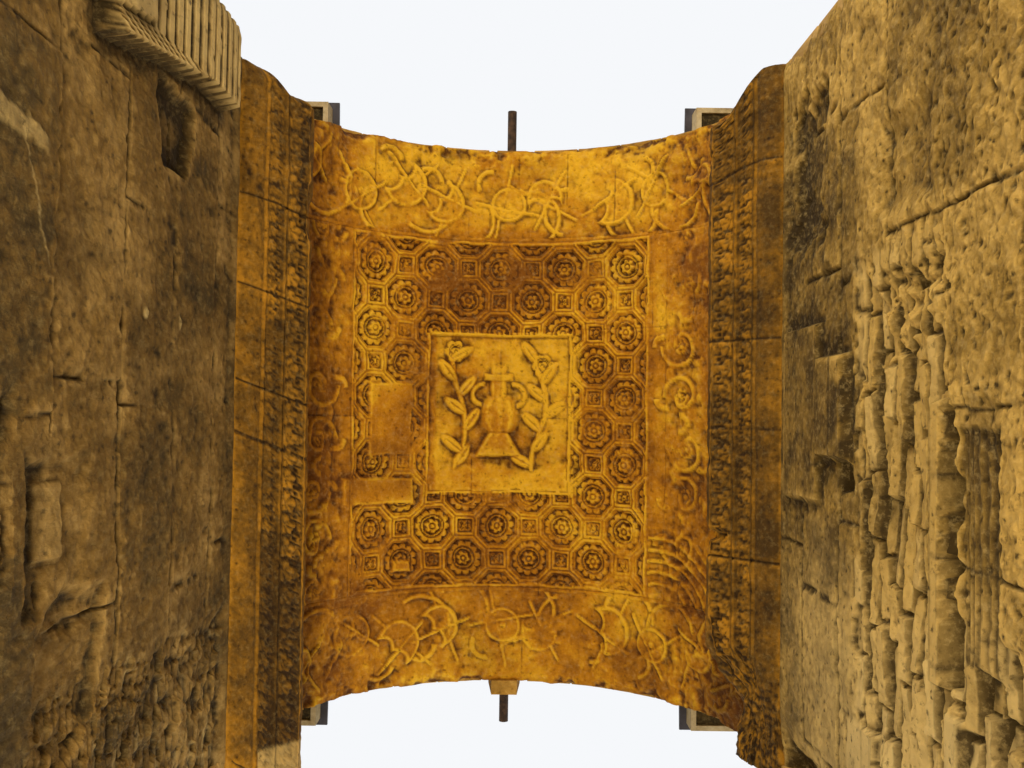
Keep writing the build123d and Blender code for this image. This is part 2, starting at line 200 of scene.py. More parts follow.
def stone_material(name, colours, dirt_and_shade, patch_mm, grain_mm, bump_mm, roughness=0.88, streaks=0.0,
                   speckle=0.45, fall=1.0, bleach=0.2):
    """Weathered stone: three tones in patches, dirt and painted shade in the hollows, pits and worn grains.

    patch_mm and grain_mm are the real sizes of the patches and grains, streaks, speckle and
    bleach are shares of soil and bleaching, and fall stretches the pattern down the wall.
    """
    made = bpy.data.materials.new(name)
    made.use_nodes = True
    tree = made.node_tree
    tree.nodes.clear()
    coordinates = add_node(tree, "ShaderNodeTexCoord").outputs["Object"]
    place = add_node(tree, "ShaderNodeMapping", None, {"Vector": coordinates},
                     Scale=(1.0, 1.0, 1 / fall)).outputs[0]
    wide = add_node(tree, "ShaderNodeTexNoise", None, {"Vector": place}, Scale=1000 / patch_mm,
                    Detail=5.0, Roughness=0.62, Distortion=0.4)
    fine = add_node(tree, "ShaderNodeTexNoise", None, {"Vector": place}, Scale=1000 / (patch_mm * 0.18),
                    Detail=6.0, Roughness=0.7)
    tone, pale, hollow = (add_node(tree, "ShaderNodeAttribute", {"attribute_name": name}).outputs["Fac"]
                          for name in ("tone", "pale", "hollow"))
    mixed = wide.outputs["Fac"]
    for source, share in ((fine.outputs["Fac"], fine_share), (tone, own_share)):
        added = add_node(tree, "ShaderNodeMath", {"operation": "MULTIPLY_ADD"}, {0: source, 2: mixed})
        added.inputs[1].default_value = share
        mixed = added.outputs[0]
    tones = add_node(tree, "ShaderNodeValToRGB", None, {"Fac": mixed})
    stops = tones.color_ramp.elements
    stops[0].position, stops[0].color = dark_at, linear(colours[0])
    stops[1].position, stops[1].color = light_at, linear(colours[2])
    stops.new(middle_at).color = linear(colours[1])
    pits = add_node(tree, "ShaderNodeTexVoronoi", None, {"Vector": place}, Scale=1000 / (grain_mm * 3),
                    Randomness=1.0)
    pit = add_node(tree, "ShaderNodeMapRange", None, {"Value": pits.outputs["Distance"]}, From_Max=0.32)
    grain = add_node(tree, "ShaderNodeTexNoise", None, {"Vector": place}, Scale=1000 / (grain_mm * 2.2),
                     Detail=8.0, Roughness=0.72)
    relief = add_node(tree, "ShaderNodeMath", {"operation": "MULTIPLY_ADD"},
                      {0: pit.outputs[0], 2: grain.outputs["Fac"]})
    relief.inputs[1].default_value = pit_share
    worn = [(relief.outputs[0], 0.66, 0.48, speckle, dirt_and_shade),
            (relief.outputs[0], 0.72, 0.96, bleach, bleached_colour)]
    if streaks:
        flow = add_node(tree, "ShaderNodeMapping", None, {"Vector": place}, Scale=(3.2, 3.2, 0.35))
        run = add_node(tree, "ShaderNodeTexNoise", None, {"Vector": flow.outputs[0]}, Scale=1.6, Detail=4.0)
        worn.insert(0, (run.outputs["Fac"], 0.50, 0.72, streaks, dirt_and_shade))
    # The hollow share lays the dark colour: dirt, and painted shade where it comes from cavities and
    # recesses.
    coats = [(pale, bleached_colour), (hollow, dirt_and_shade)]
    for source, low, high, most, over in worn:
        share = add_node(tree, "ShaderNodeMapRange", None, {"Value": source},
                         From_Min=low, From_Max=high, To_Max=most)
        coats.append((share.outputs[0], over))
    colour = tones.outputs["Color"]
    for share, over in coats:
        coat = add_node(tree, "ShaderNodeMix", {"data_type": "RGBA"}, {"Factor": share, "A": colour})
        coat.inputs["B"].default_value = linear(over)
        colour = coat.outputs["Result"]
    bump = add_node(tree, "ShaderNodeBump", None, {"Height": relief.outputs[0]}, Distance=bump_mm / 1000,
                    Strength=1.0)
    shader = add_node(tree, "ShaderNodeBsdfPrincipled", None,
                      {"Base Color": colour, "Normal": bump.outputs[0]},
                      Roughness=roughness, Specular_IOR_Level=0.2)
    add_node(tree, "ShaderNodeOutputMaterial", None, {"Surface": shader.outputs[0]})
    return made


vault_stone = stone_material("golden_limestone_carved", ("#85500A", "#B87A0A", "#DEAA20"), "#4E2A08",
                             patch_mm=900, grain_mm=20, bump_mm=14, speckle=0.6, bleach=0.25)

# Vault
# The barrel vault's voussoirs, about 0.45 m wide, laid in rings along the passage and
# carved where they stand: a field of octagons and squares round a framed panel, plain
# margins with scrollwork beside it, and a frieze of crescent shields at each end.
ring_low, ring_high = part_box("vault_coffered_ring")
back_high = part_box("vault_back_ring")[1]
springing = ring_low[2]
voussoir_depth = 0.425
vault_radius = ring_high[0] - voussoir_depth
face_line = back_high[1]
field_length = ring_high[1]
field_arc = 1.445
coffer_pitch = 0.305
coffer_rows = 10
rib_width = 0.042
coffer_depth = 0.056
panel_arc, panel_length = 0.695, 0.755
panel_sinking, panel_relief_height = 0.022, 0.064
frieze_relief, scroll_relief, fold_relief = 0.054, 0.038, 0.026
border_width, border_height, frame_height, fillet_height = 0.035, 0.016, 0.018, 0.010
voussoir_width = 0.47
ring_width = 0.84
pattern_shift = -0.09


def octagon_distance(x, y):
    """Distance from an octagon's centre to the flat that a point lies towards."""
    return np.maximum(np.maximum(abs(x), abs(y)), (abs(x) + abs(y)) / math.sqrt(2))


def flower(x, y, size, petals, turn=0.0):
    """A carved rosette: petals in two rings with a round moulding between, and a boss, 0 to 1 high."""
    radius = np.hypot(x, y) / size
    angle = np.arctan2(y, x) + turn
    outer_lobe = 0.74 + 0.26 * np.sqrt(abs(np.cos(angle * petals / 2)))
    outer = ramp(0.0, 0.10, outer_lobe - radius) * ramp(0.58, 0.70, radius)
    moulding = ramp(0.07, 0.02, abs(radius - 0.53))
    inner_lobe = 0.30 + 0.14 * abs(np.cos(angle * petals / 4 + 0.6))
    inner = ramp(0.0, 0.10, inner_lobe - radius) * ramp(0.12, 0.22, radius)
    boss = ramp(0.17, 0.06, radius)
    return np.maximum(np.maximum(0.70 * outer, 0.62 * moulding), np.maximum(0.85 * inner, boss))


def coffers(arc, station):
    """Height of the coffer field over its ribs, 0 on a rib and -1 on a coffer's floor."""
    column = arc / coffer_pitch
    row = station / coffer_pitch + (coffer_rows - 1) / 2
    first, second = (column + row) / 2, (column - row) / 2
    a, b = np.round(first), np.round(second)
    x, y = (column - (a + b)) * coffer_pitch, (row - (a - b)) * coffer_pitch
    half_tile = coffer_pitch / math.sqrt(2)
    inside = half_tile - rib_width / 2 - octagon_distance(x, y)
    step = ramp(0.0, 0.010, inside) * 0.35 + ramp(0.022, 0.034, inside) * 0.65
    rose = flower(x, y, half_tile * 0.80, 12, 0.2 + 0.8 * np.sin(a * 2.1 + b * 3.7))
    angle, reach = np.arctan2(y, x), np.hypot(x, y)
    drilled = ramp(0.014, 0.006, abs(reach - half_tile * 0.36)) * ramp(0.2, 0.7, np.cos(angle * 6 + a))
    deep = -step + ramp(0.024, 0.038, inside) * (rose * 0.85 - 0.35 * drilled)
    groove = 0.22 * ramp(0.010, 0.004, abs(inside + rib_width / 2))
    a, b = np.floor(first) + 0.5, np.floor(second) + 0.5
    x, y = (column - (a + b)) * coffer_pitch, (row - (a - b)) * coffer_pitch
    half_square = half_tile * math.tan(math.pi / 8)
    square = half_square - rib_width / 2 - np.maximum(abs(x), abs(y))
    bud = flower(x, y, half_square * 0.80, 4, math.pi / 4)
    small = -ramp(0.0, 0.012, square) * 0.8 + ramp(0.008, 0.02, square) * bud * 0.6
    return np.minimum(deep, 0) * (inside > 0) + small * (square > 0) - groove


def arc_band(x, y, radius, width, start, stretch):
    """A carved curved strap: 1 along an arc of a circle and 0 away from it."""
    angle = np.arctan2(y, x)
    off = abs((angle - start + math.pi) % (2 * math.pi) - math.pi)
    across = abs(np.hypot(x, y) - radius)
    return ramp(width, width * 0.35, across) * ramp(stretch + 0.15, stretch, off)


def pelta(x, y, size):
    """A crescent shield with two horns and a raised rim, 0 to 1 high."""
    outer = size - np.hypot(x, y)
    bite_left = np.hypot(x + size * 0.42, y - size * 0.62) - size * 0.46
    bite_right = np.hypot(x - size * 0.42, y - size * 0.62) - size * 0.46
    inside = np.minimum(outer, np.minimum(bite_left, bite_right))
    return ramp(0.0, 0.02, inside) * (0.62 + 0.38 * ramp(0.055, 0.03, inside))


def frieze(arc, station):
    """Shields, discs, spears and straps heaped across the end of the vault; station runs outward."""
    high = np.zeros_like(arc)
    middle = 0.43
    for number in range(-5, 6):
        centre = number * 0.50 + 0.22 * (chance(number, 1) - 0.5)
        turn = 2 * math.pi * chance(number, 2)
        size = 0.15 + 0.11 * chance(number, 3)
        x, y = arc - centre, station - middle - 0.22 * (chance(number, 4) - 0.5)
        rx, ry = x * math.cos(turn) - y * math.sin(turn), x * math.sin(turn) + y * math.cos(turn)
        if number % 3 == 0:
            disc = size * 0.8 - np.hypot(x, y)
            rim = ramp(0.0, 0.02, disc) * (0.45 + 0.55 * ramp(0.045, 0.02, disc))
            high = np.maximum(high, np.maximum(rim, ramp(0.045, 0.02, np.hypot(x, y)) * 0.9))
        else:
            high = np.maximum(high, pelta(rx, ry, size))
        for turned, reach in ((0.7, 0.42), (-0.9, 0.34)):
            off = rx * math.sin(turned + turn) + ry * math.cos(turned + turn) + 0.05
            spear = ramp(0.020, 0.008, abs(off)) * ramp(reach, reach - 0.06, np.hypot(rx, ry))
            high = np.maximum(high, spear * (0.75 - 0.2 * turned))
        strap = arc_band(x - 0.22, y + 0.14, 0.20 + 0.1 * chance(number, 5), 0.028, turn, 1.4)
        fold = arc_band(x + 0.16, y - 0.18, 0.13, 0.030, turn + 2.0, 1.0)
        high = np.maximum(high, np.maximum(strap * 0.8, fold * 0.7))
    return high


def scrolls(arc, station):
    """Winding stems with curled ends and leaves, along the margin beside the coffers."""
    high = np.zeros_like(arc)
    for number in range(-4, 5):
        centre = number * 0.46 + 0.10 * (chance(number, 6) - 0.5)
        x, y = arc - 0.10 * (chance(number, 7) - 0.5), station - centre
        side = 1 if number % 2 else -1
        spiral = np.hypot(x, y) - (0.05 + 0.026 * ((np.arctan2(y * side, x) + math.pi) % (2 * math.pi)))
        stem = ramp(0.030, 0.008, abs(spiral)) * ramp(0.25, 0.20, np.hypot(x, y))
        bud = flower(x, y, 0.080, 6, number)
        high = np.maximum(high, np.maximum(stem * 0.7, bud * 0.9))
        for turn in (0.4, 1.7, 3.1, 4.4):
            leaf_x, leaf_y = x - 0.20 * math.cos(turn), y - 0.22 * math.sin(turn)
            leaf = arc_band(leaf_x, leaf_y, 0.085, 0.040, turn + side, 0.9)
            high = np.maximum(high, leaf * (0.45 + 0.4 * chance(number, round(turn * 10))))
    return high


stem_place, stem_swing, stem_waves = 0.38, 0.07, 5.2
leaf_length, leaf_width = 0.14, 0.060


def panel_relief(arc, station):
    """The middle panel: a footed vase with two handles between leafy branches, over low ground."""
    x, y = arc, -station
    belly = ramp(0.0, 0.09, 0.21 - np.hypot(x, (y + 0.02) * 0.86))
    neck = ramp(0.0, 0.04, 0.090 - abs(x)) * ramp(0.36, 0.28, abs(y - 0.12))
    lip = ramp(0.0, 0.03, 0.15 - abs(x)) * ramp(0.045, 0.02, abs(y - 0.34))
    foot = ramp(0.0, 0.04, 0.13 + (-0.22 - y) * 0.6 - abs(x)) * ramp(-0.42, -0.39, y) * ramp(-0.16, -0.2, y)
    vase = np.maximum(np.maximum(belly, neck * 0.8), np.maximum(lip, foot))
    high = vase * (0.95 + 0.10 * np.cos(x * 60) * belly)
    for side in (-1, 1):
        high = np.maximum(high, arc_band(x * side - 0.15, y - 0.17, 0.10, 0.030, 0.2, 1.5) * 0.7)
        winding = abs(x * side - stem_place - stem_swing * np.sin(stem_waves * y + side))
        stem = ramp(0.034, 0.008, winding) * ramp(0.60, 0.50, abs(y))
        high = np.maximum(high, stem * 0.55)
        for number in range(7):
            cy = -0.50 + 0.165 * number + 0.06 * (chance(number, side + 2) - 0.5)
            cx = stem_place + stem_swing * math.sin(stem_waves * cy + side)
            turn = (0.7 if number % 2 else 2.4) + 0.7 * (chance(number, side + 5) - 0.5)
            px = (x * side - cx) * math.cos(turn) + (y - cy) * math.sin(turn) - 0.10
            py = (y - cy) * math.cos(turn) - (x * side - cx) * math.sin(turn)
            leaf = ramp(1.0, 0.25, (px / leaf_length) ** 2 + (py / leaf_width) ** 2)
            leaf = leaf * (0.75 + 0.25 * ramp(0.002, 0.014, abs(py)))
            high = np.maximum(high, leaf * (0.6 + 0.4 * chance(number, side + 8)))
        high = np.maximum(high, flower(x * side - 0.42, y - 0.52 + 0.06 * side, 0.11, 6, side) * 0.9)
    ground = ramp(-0.46, -0.60, y + 0.03 * np.sin(x * 7)) * 0.6
    return np.maximum(high, ground)


swirl_arc, swirl_station = 1.62, 1.95


def vault_height(arc, station):
    """Height of the carved soffit over the vault's plain curve, in metres into the passage."""
    along = abs(station)
    in_field = (abs(arc) < field_arc) & (along < field_length - border_width)
    in_panel = (abs(arc) < panel_arc) & (along < panel_length)
    high = np.where(in_field & ~in_panel, coffers(arc, station) * coffer_depth, 0.0)
    edge = np.minimum(field_arc - abs(arc), field_length - border_width - along)
    border = ramp(border_width, 0.012, abs(edge)) * (abs(arc) < field_arc + border_width)
    high += border_height * border
    inner = np.minimum(panel_arc - abs(arc), panel_length - along)
    high += frame_height * ramp(0.030, 0.014, abs(inner)) * (inner > -0.04)
    figure = panel_relief(arc, station)
    high = np.where(inner > 0.03, -panel_sinking + panel_relief_height * figure, high)
    outside = along - field_length
    high += np.where(outside > 0.03, frieze(arc, outside) * frieze_relief - 0.010, 0.0)
    beside = np.abs(arc) - field_arc
    margin = (beside > 0.05) & (outside < 0.0)
    winding = scrolls(beside - 0.42, station + 0.2 * np.sign(arc)) * ramp(1.25, 0.9, beside)
    high += np.where(margin, winding * scroll_relief, 0.0)
    swirl = np.hypot(arc - swirl_arc, station - swirl_station)
    folds = ramp(0.2, 0.9, np.cos(swirl * 62 + 3 * np.sin(arc * 3)))
    folds = folds * ramp(1.0, 0.85, swirl) * ramp(0.28, 0.4, swirl)
    high += np.where(margin & (arc > 0), fold_relief * folds * ramp(0.5, 0.8, station), 0.0)
    high += np.where(margin, fillet_height * ramp(0.020, 0.008, abs(beside - 0.82)), 0.0)
    return high


# Old smooth repairs, as arc and station ranges in metres with the patch's height
repairs = (
    (-1.36, -0.92, -0.27, 0.40, 0.004),
    (-1.64, -0.90, 0.60, 0.84, 0.010),
    (-1.10, -0.92, 1.36, 1.47, 0.020),
)


def weather_vault(arc, station, high):
    """Wears the carving, opens the joints, sets each stone a little off, and lays old repairs."""
    spots = np.stack([arc, station, np.zeros_like(arc)], axis=1)
    wear = scatter(spots, 0.55, 3, 4)
    plain = ramp(field_length - 0.02, field_length + 0.05, abs(station))
    plain = plain + ramp(field_arc, field_arc + 0.05, abs(arc))
    keep = 0.78 + 0.55 * np.clip(wear, -0.9, 0.45) - 0.22 * np.clip(plain, 0, 1)
    lost = ramp(0.20, 0.55, scatter(spots, 0.34, 14, 4))
    framed = ramp(0.03, -0.03, abs(arc) - panel_arc) * ramp(0.03, -0.03, abs(station) - panel_length)
    high = high * np.clip(keep, 0.12 + 0.5 * framed, 1.0) * (1 - 0.65 * lost * (1 - framed))
    high = high + 0.014 * scatter(spots, 0.45, 5, 4) + 0.0085 * scatter(spots, 0.085, 6, 4)
    outer = ramp(1.35, 1.75, abs(arc)) + 0.5 * ramp(1.6, 2.0, abs(station))
    high = high + outer * (0.022 * scatter(spots, 0.24, 7, 4) - 0.008)
    ring = np.floor((station + field_length) / ring_width)
    course = arc / voussoir_width + 0.35 * np.sin(ring * 2.7)
    stone = np.floor(course)
    set_off = 0.0028 * np.sin(stone * 12.9 + ring * 7.7)
    to_bed = np.minimum(course - stone, stone + 1 - course) * voussoir_width
    ring_place = (station + field_length) / ring_width
    to_ring = np.minimum(ring_place - np.floor(ring_place), np.ceil(ring_place) - ring_place) * ring_width
    seen = ramp(-0.2, 0.6, scatter(spots, 0.5, 9, 3))
    joint = np.maximum(ramp(0.010, 0.0, to_bed), 0.7 * ramp(0.010, 0.0, to_ring)) * seen
    high = high + set_off - 0.006 * joint
    for low_arc, high_arc, low_station, high_station, lift in repairs:
        inside = np.minimum(arc - low_arc, high_arc - arc)
        inside = np.minimum(inside, np.minimum(station - low_station, high_station - station))
        cover = ramp(-0.01, 0.02, inside + 0.02 * wear)
        high = high * (1 - cover) + lift * cover
    chips = scatter(spots, 0.30, 11, 4)
    end = face_line - abs(station)
    high = high - 0.06 * ramp(0.22, 0.0, end) * ramp(-0.1, 0.6, chips) - 0.012 * ramp(0.06, 0.0, end)
    return high, joint


def sheet(across, along, surface, backing):
    """A carved surface with walls round it and a plain back, from a flat grid.

    surface and backing take the grid's shares across and along, 0 to 1, and give points;
    surface also gives each point's hollow, tone and pale for the stone's colour.
    """
    shape = bmesh.new()
    marks = ("hollow", "tone", "pale")
    for name in marks:
        shape.verts.layers.float.new(name)
    layers = [shape.verts.layers.float[name] for name in marks]
    bmesh.ops.create_grid(shape, x_segments=across, y_segments=along, size=0.5)
    front = list(shape.verts)
    flat = np.array([v.co[:2] for v in front]) + 0.5
    rim = [e for e in shape.edges if e.is_boundary]
    grown = bmesh.ops.extrude_edge_only(shape, edges=rim)["geom"]
    behind = [g for g in grown if isinstance(g, bmesh.types.BMVert)]
    rear = np.array([v.co[:2] for v in behind]) + 0.5
    spots, *shares = surface(flat[:, 0], flat[:, 1])
    for v, spot in zip(front, spots):
        v.co = spot
    for layer, values in zip(layers, shares):
        for v, value in zip(front, values):
            v[layer] = value
    for v, spot in zip(behind, backing(rear[:, 0], rear[:, 1])):
        v.co = spot
    low = {v for v, (_, y) in zip(behind, rear) if y < 1e-4}
    high = {v for v, (_, y) in zip(behind, rear) if y > 1 - 1e-4}
    sides = [v for v in behind if v not in low and v not in high]
    bmesh.ops.dissolve_verts(shape, verts=sides)
    chains = [e for e in shape.edges if e.is_boundary and (set(e.verts) <= low or set(e.verts) <= high)]
    bmesh.ops.bridge_loops(shape, edges=chains)
    bmesh.ops.remove_doubles(shape, verts=[v for v in behind if v.is_valid], dist=1e-5)
    bmesh.ops.recalc_face_normals(shape, faces=shape.faces)
    return shape


def cavity(depth, across, along, reach):
    """How deep each spot lies below the mean of the spots around it, over a reach in grid steps."""
    order = np.lexsort((across.round(5), along.round(5)))
    columns = len(np.unique(across.round(5)))
    grid = depth[order].reshape(-1, columns)
    soft, window = grid, 2 * reach + 1
    for axis in (0, 1):
        padding = [(reach + 1, reach) if axis == number else (0, 0) for number in (0, 1)]
        total = np.cumsum(np.pad(soft, padding, mode="edge"), axis=axis)
        count = total.shape[axis]
        soft = (total.take(range(window, count), axis) - total.take(range(count - window), axis)) / window
    out = np.empty_like(depth)
    out[order] = (grid - soft).ravel()
    return out


def overhang(depth, across, along, step):
    """The slope of a wall's undersides: 0 on a plumb face, 1 where it leans out by 45 degrees."""
    order = np.lexsort((across.round(5), along.round(5)))
    grid = depth[order].reshape(-1, len(np.unique(across.round(5))))
    out = np.empty_like(depth)
    out[order] = -np.gradient(grid, step, axis=0).ravel()
    return out


def cavity_shade_and_dirt(depth, across, along, deep, fine):
    """Painted shade with dirt in the hollows, and painted highlight with bleaching on the edges: two shares,
    from depths of two sizes in metres.
    """
    broad, narrow = cavity(depth, across, along, 8), cavity(depth, across, along, 2)
    dirt_and_shade = 0.70 * ramp(0.05 * deep, deep, broad) + 0.50 * ramp(0.05 * fine, fine, narrow)
    bright = 0.6 * ramp(0.1 * deep, deep, -broad) + 0.9 * ramp(0.1 * fine, fine, -narrow)
    return dirt_and_shade, bright


def soffit(low_arc, high_arc, low_station, high_station, pitch):
    """A carved strip of the vault, bent round the passage."""
    def surface(across, along):
        arc = low_arc + across * (high_arc - low_arc)
        station = low_station + along * (high_station - low_station)
        flat = np.stack([arc, station, np.full_like(arc, 4.0)], axis=1)
        drift = 0.012 * scatter(flat, 0.30, 15, 3)
        ideal = vault_height(arc - pattern_shift + drift, station + 0.012 * scatter(flat, 0.30, 16, 3))
        high, joint = weather_vault(arc, station, ideal)
        ends = ramp(0.12, 0.0, face_line - abs(station))
        ragged = scatter(np.stack([arc, np.sign(station), np.zeros_like(arc)], axis=1), 0.22, 21, 4)
        pulled = station - np.sign(station) * ends * np.clip(0.03 * ragged, -0.015, 0.06)
        radius = vault_radius - high
        angle = arc / vault_radius
        # Darker in cavities and lighter on edges: painted shade and painted highlight, with dirt and
        # bleaching.
        dirt_and_shade, bright = cavity_shade_and_dirt(-high, across, along, 0.022, 0.006)
        stain = scatter(flat, 0.60, 19, 4)
        # hollow: painted shade where the carving is sunk and towards the springing, with dirt, the joints
        # and stains.
        hollow = 0.85 * dirt_and_shade + 0.15 * ramp(0.0, -0.05, high) + 0.2 * joint + 0.22 * ramp(0.0, 0.7, stain)
        hollow = np.clip(hollow, 0, 1) + 0.30 * ramp(1.3, 2.9, abs(arc))
        hollow = hollow + 0.45 * ramp(1.7, 2.2, arc) * ramp(1.9, 2.3, station + 0.2 * stain)
        # tone: painted highlight on edges, and painted shade darkening the vault towards the springing, with
        # stains.
        tone = bright - 0.25 - 0.7 * ramp(1.5, 2.6, abs(arc)) - 0.3 * ramp(0.0, -1.6, arc) - 0.55 * stain
        coffered = ramp(0.03, -0.03, abs(arc) - field_arc) * ramp(0.03, -0.03, abs(station) - field_length)
        tone = tone - 0.45 * coffered
        in_panel = ramp(0.03, -0.03, abs(arc) - panel_arc) * ramp(0.03, -0.03, abs(station) - panel_length)
        front_end = ramp(-field_length, -field_length - 0.15, station) * ramp(1.9, 1.2, abs(arc))
        # The panel at the crown is brightened: painted light.
        tone = tone + 1.6 * in_panel + 0.8 * front_end
        spots = np.stack([radius * np.sin(angle), pulled, springing + radius * np.cos(angle)], axis=1)
        return spots, np.clip(hollow, 0, 0.95), tone, np.zeros_like(arc)

    def backing(across, along):
        angle = (low_arc + across * (high_arc - low_arc)) / vault_radius
        radius = vault_radius + voussoir_depth
        station = low_station + along * (high_station - low_station)
        return np.stack([radius * np.sin(angle), station, springing + radius * np.cos(angle)], axis=1)

    columns, rows = round((high_arc - low_arc) / pitch), round((high_station - low_station) / pitch)
    return sheet(columns, rows, surface, backing)


half_turn = vault_radius * math.pi / 2
coarse = 1.0
margin_arc = 1.56
coffer_grid, frieze_grid, margin_grid = 0.0115, 0.0125, 0.016
coffered_ring = "vault_coffered_ring"
front_ring, back_ring = "vault_front_ring", "vault_back_ring"
strips = (
    ("vault_front_frieze", -half_turn, half_turn, -face_line, -field_length, frieze_grid, front_ring),
    ("vault_back_frieze", -half_turn, half_turn, field_length, face_line, frieze_grid, back_ring),
    ("vault_coffers", -margin_arc, margin_arc, -field_length, field_length, coffer_grid, coffered_ring),
    ("vault_left_margin", -half_turn, -margin_arc, -field_length, field_length, margin_grid, coffered_ring),
    ("vault_right_margin", margin_arc, half_turn, -field_length, field_length, margin_grid, coffered_ring),
)
for name, low_arc, high_arc, low_station, high_station, pitch, node in strips:
    strip = soffit(low_arc, high_arc, low_station, high_station, pitch * coarse)
    piece(name, strip, vault_stone, "vault_stone", node)

# Imposts
# The moulded course that the vault springs from, cut from long blocks: a plain hollow, a
# narrow and a broad band of leaves drilled between their lobes, and a plain top fillet.
impost_stone = stone_material("golden_limestone_moulded", ("#4C350C", "#76520F", "#A87517"), "#2A1A06",
                              patch_mm=420, grain_mm=18, bump_mm=12, speckle=0.7, bleach=0.15)
impost_low, impost_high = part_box("left_impost")
impost_bottom, impost_reach = impost_low[2], impost_high[0] + vault_radius
return_stop = impost_low[0]
impost_front = {"left": impost_low[1], "right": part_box("right_impost")[0][1]}
impost_height = 0.5
profile = np.array((
    (0.0, 0.0), (0.055, 0.020), (0.105, 0.065), (0.140, 0.110), (0.155, 0.150), (0.175, 0.150),
    (0.175, 0.170), (0.215, 0.195), (0.245, 0.222), (0.262, 0.250), (0.285, 0.250), (0.285, 0.290),
    (0.330, 0.310), (0.375, 0.345), (0.405, 0.375), (impost_reach, 0.400), (impost_reach, impost_height),
))
steps = np.hypot(*np.diff(profile, axis=0).T)
profile_run = np.concatenate([[0], np.cumsum(steps)])
narrow_band = profile_run[6], profile_run[9]
broad_band = profile_run[11], profile_run[15]
narrow_leaf, narrow_relief = 0.095, 0.016
broad_leaf, broad_relief = 0.16, 0.022
passage_length, joint_width, joint_depth = 5.04, 0.011, 0.016


# Where the blocks of each impost meet, in metres from the front face; the left one's last
# block is a renewal. Then the right one's notch, the left one's rounded end, and the tail
# that each block has in the pier.
impost_joints = {"left": (0.88, 1.52, 2.22, 2.60, 4.93), "right": (0.66, 1.95, 2.60, 3.55)}
notch_place, rounded_end, impost_tail = 3.40, 0.11, 0.15


def leafage(share, run, leaf_pitch):
    """A row of lobed leaves with drilled holes between them, 0 to 1 high and below 0 in a hole."""
    x = (run / leaf_pitch) % 1 - 0.5
    y = share - 0.05
    angle = np.arctan2(y, x)
    reach = np.hypot(x, y * 0.8)
    lobe = abs(np.cos(angle * 3.5))
    leaf = ramp(0.0, 0.10, 0.40 + 0.10 * lobe - reach) * (0.45 + 0.55 * lobe)
    tip = ramp(0.09, 0.03, np.hypot(x, share - 0.82)) * 0.9
    hole = ramp(0.10, 0.05, np.hypot(abs(x) - 0.5, (share - 0.62) * 0.7))
    cut = ramp(0.07, 0.02, abs(abs(x) - 0.27)) * ramp(0.3, 0.5, share) * ramp(0.95, 0.8, share)
    return np.maximum(leaf, tip) - 0.9 * hole - 0.6 * cut


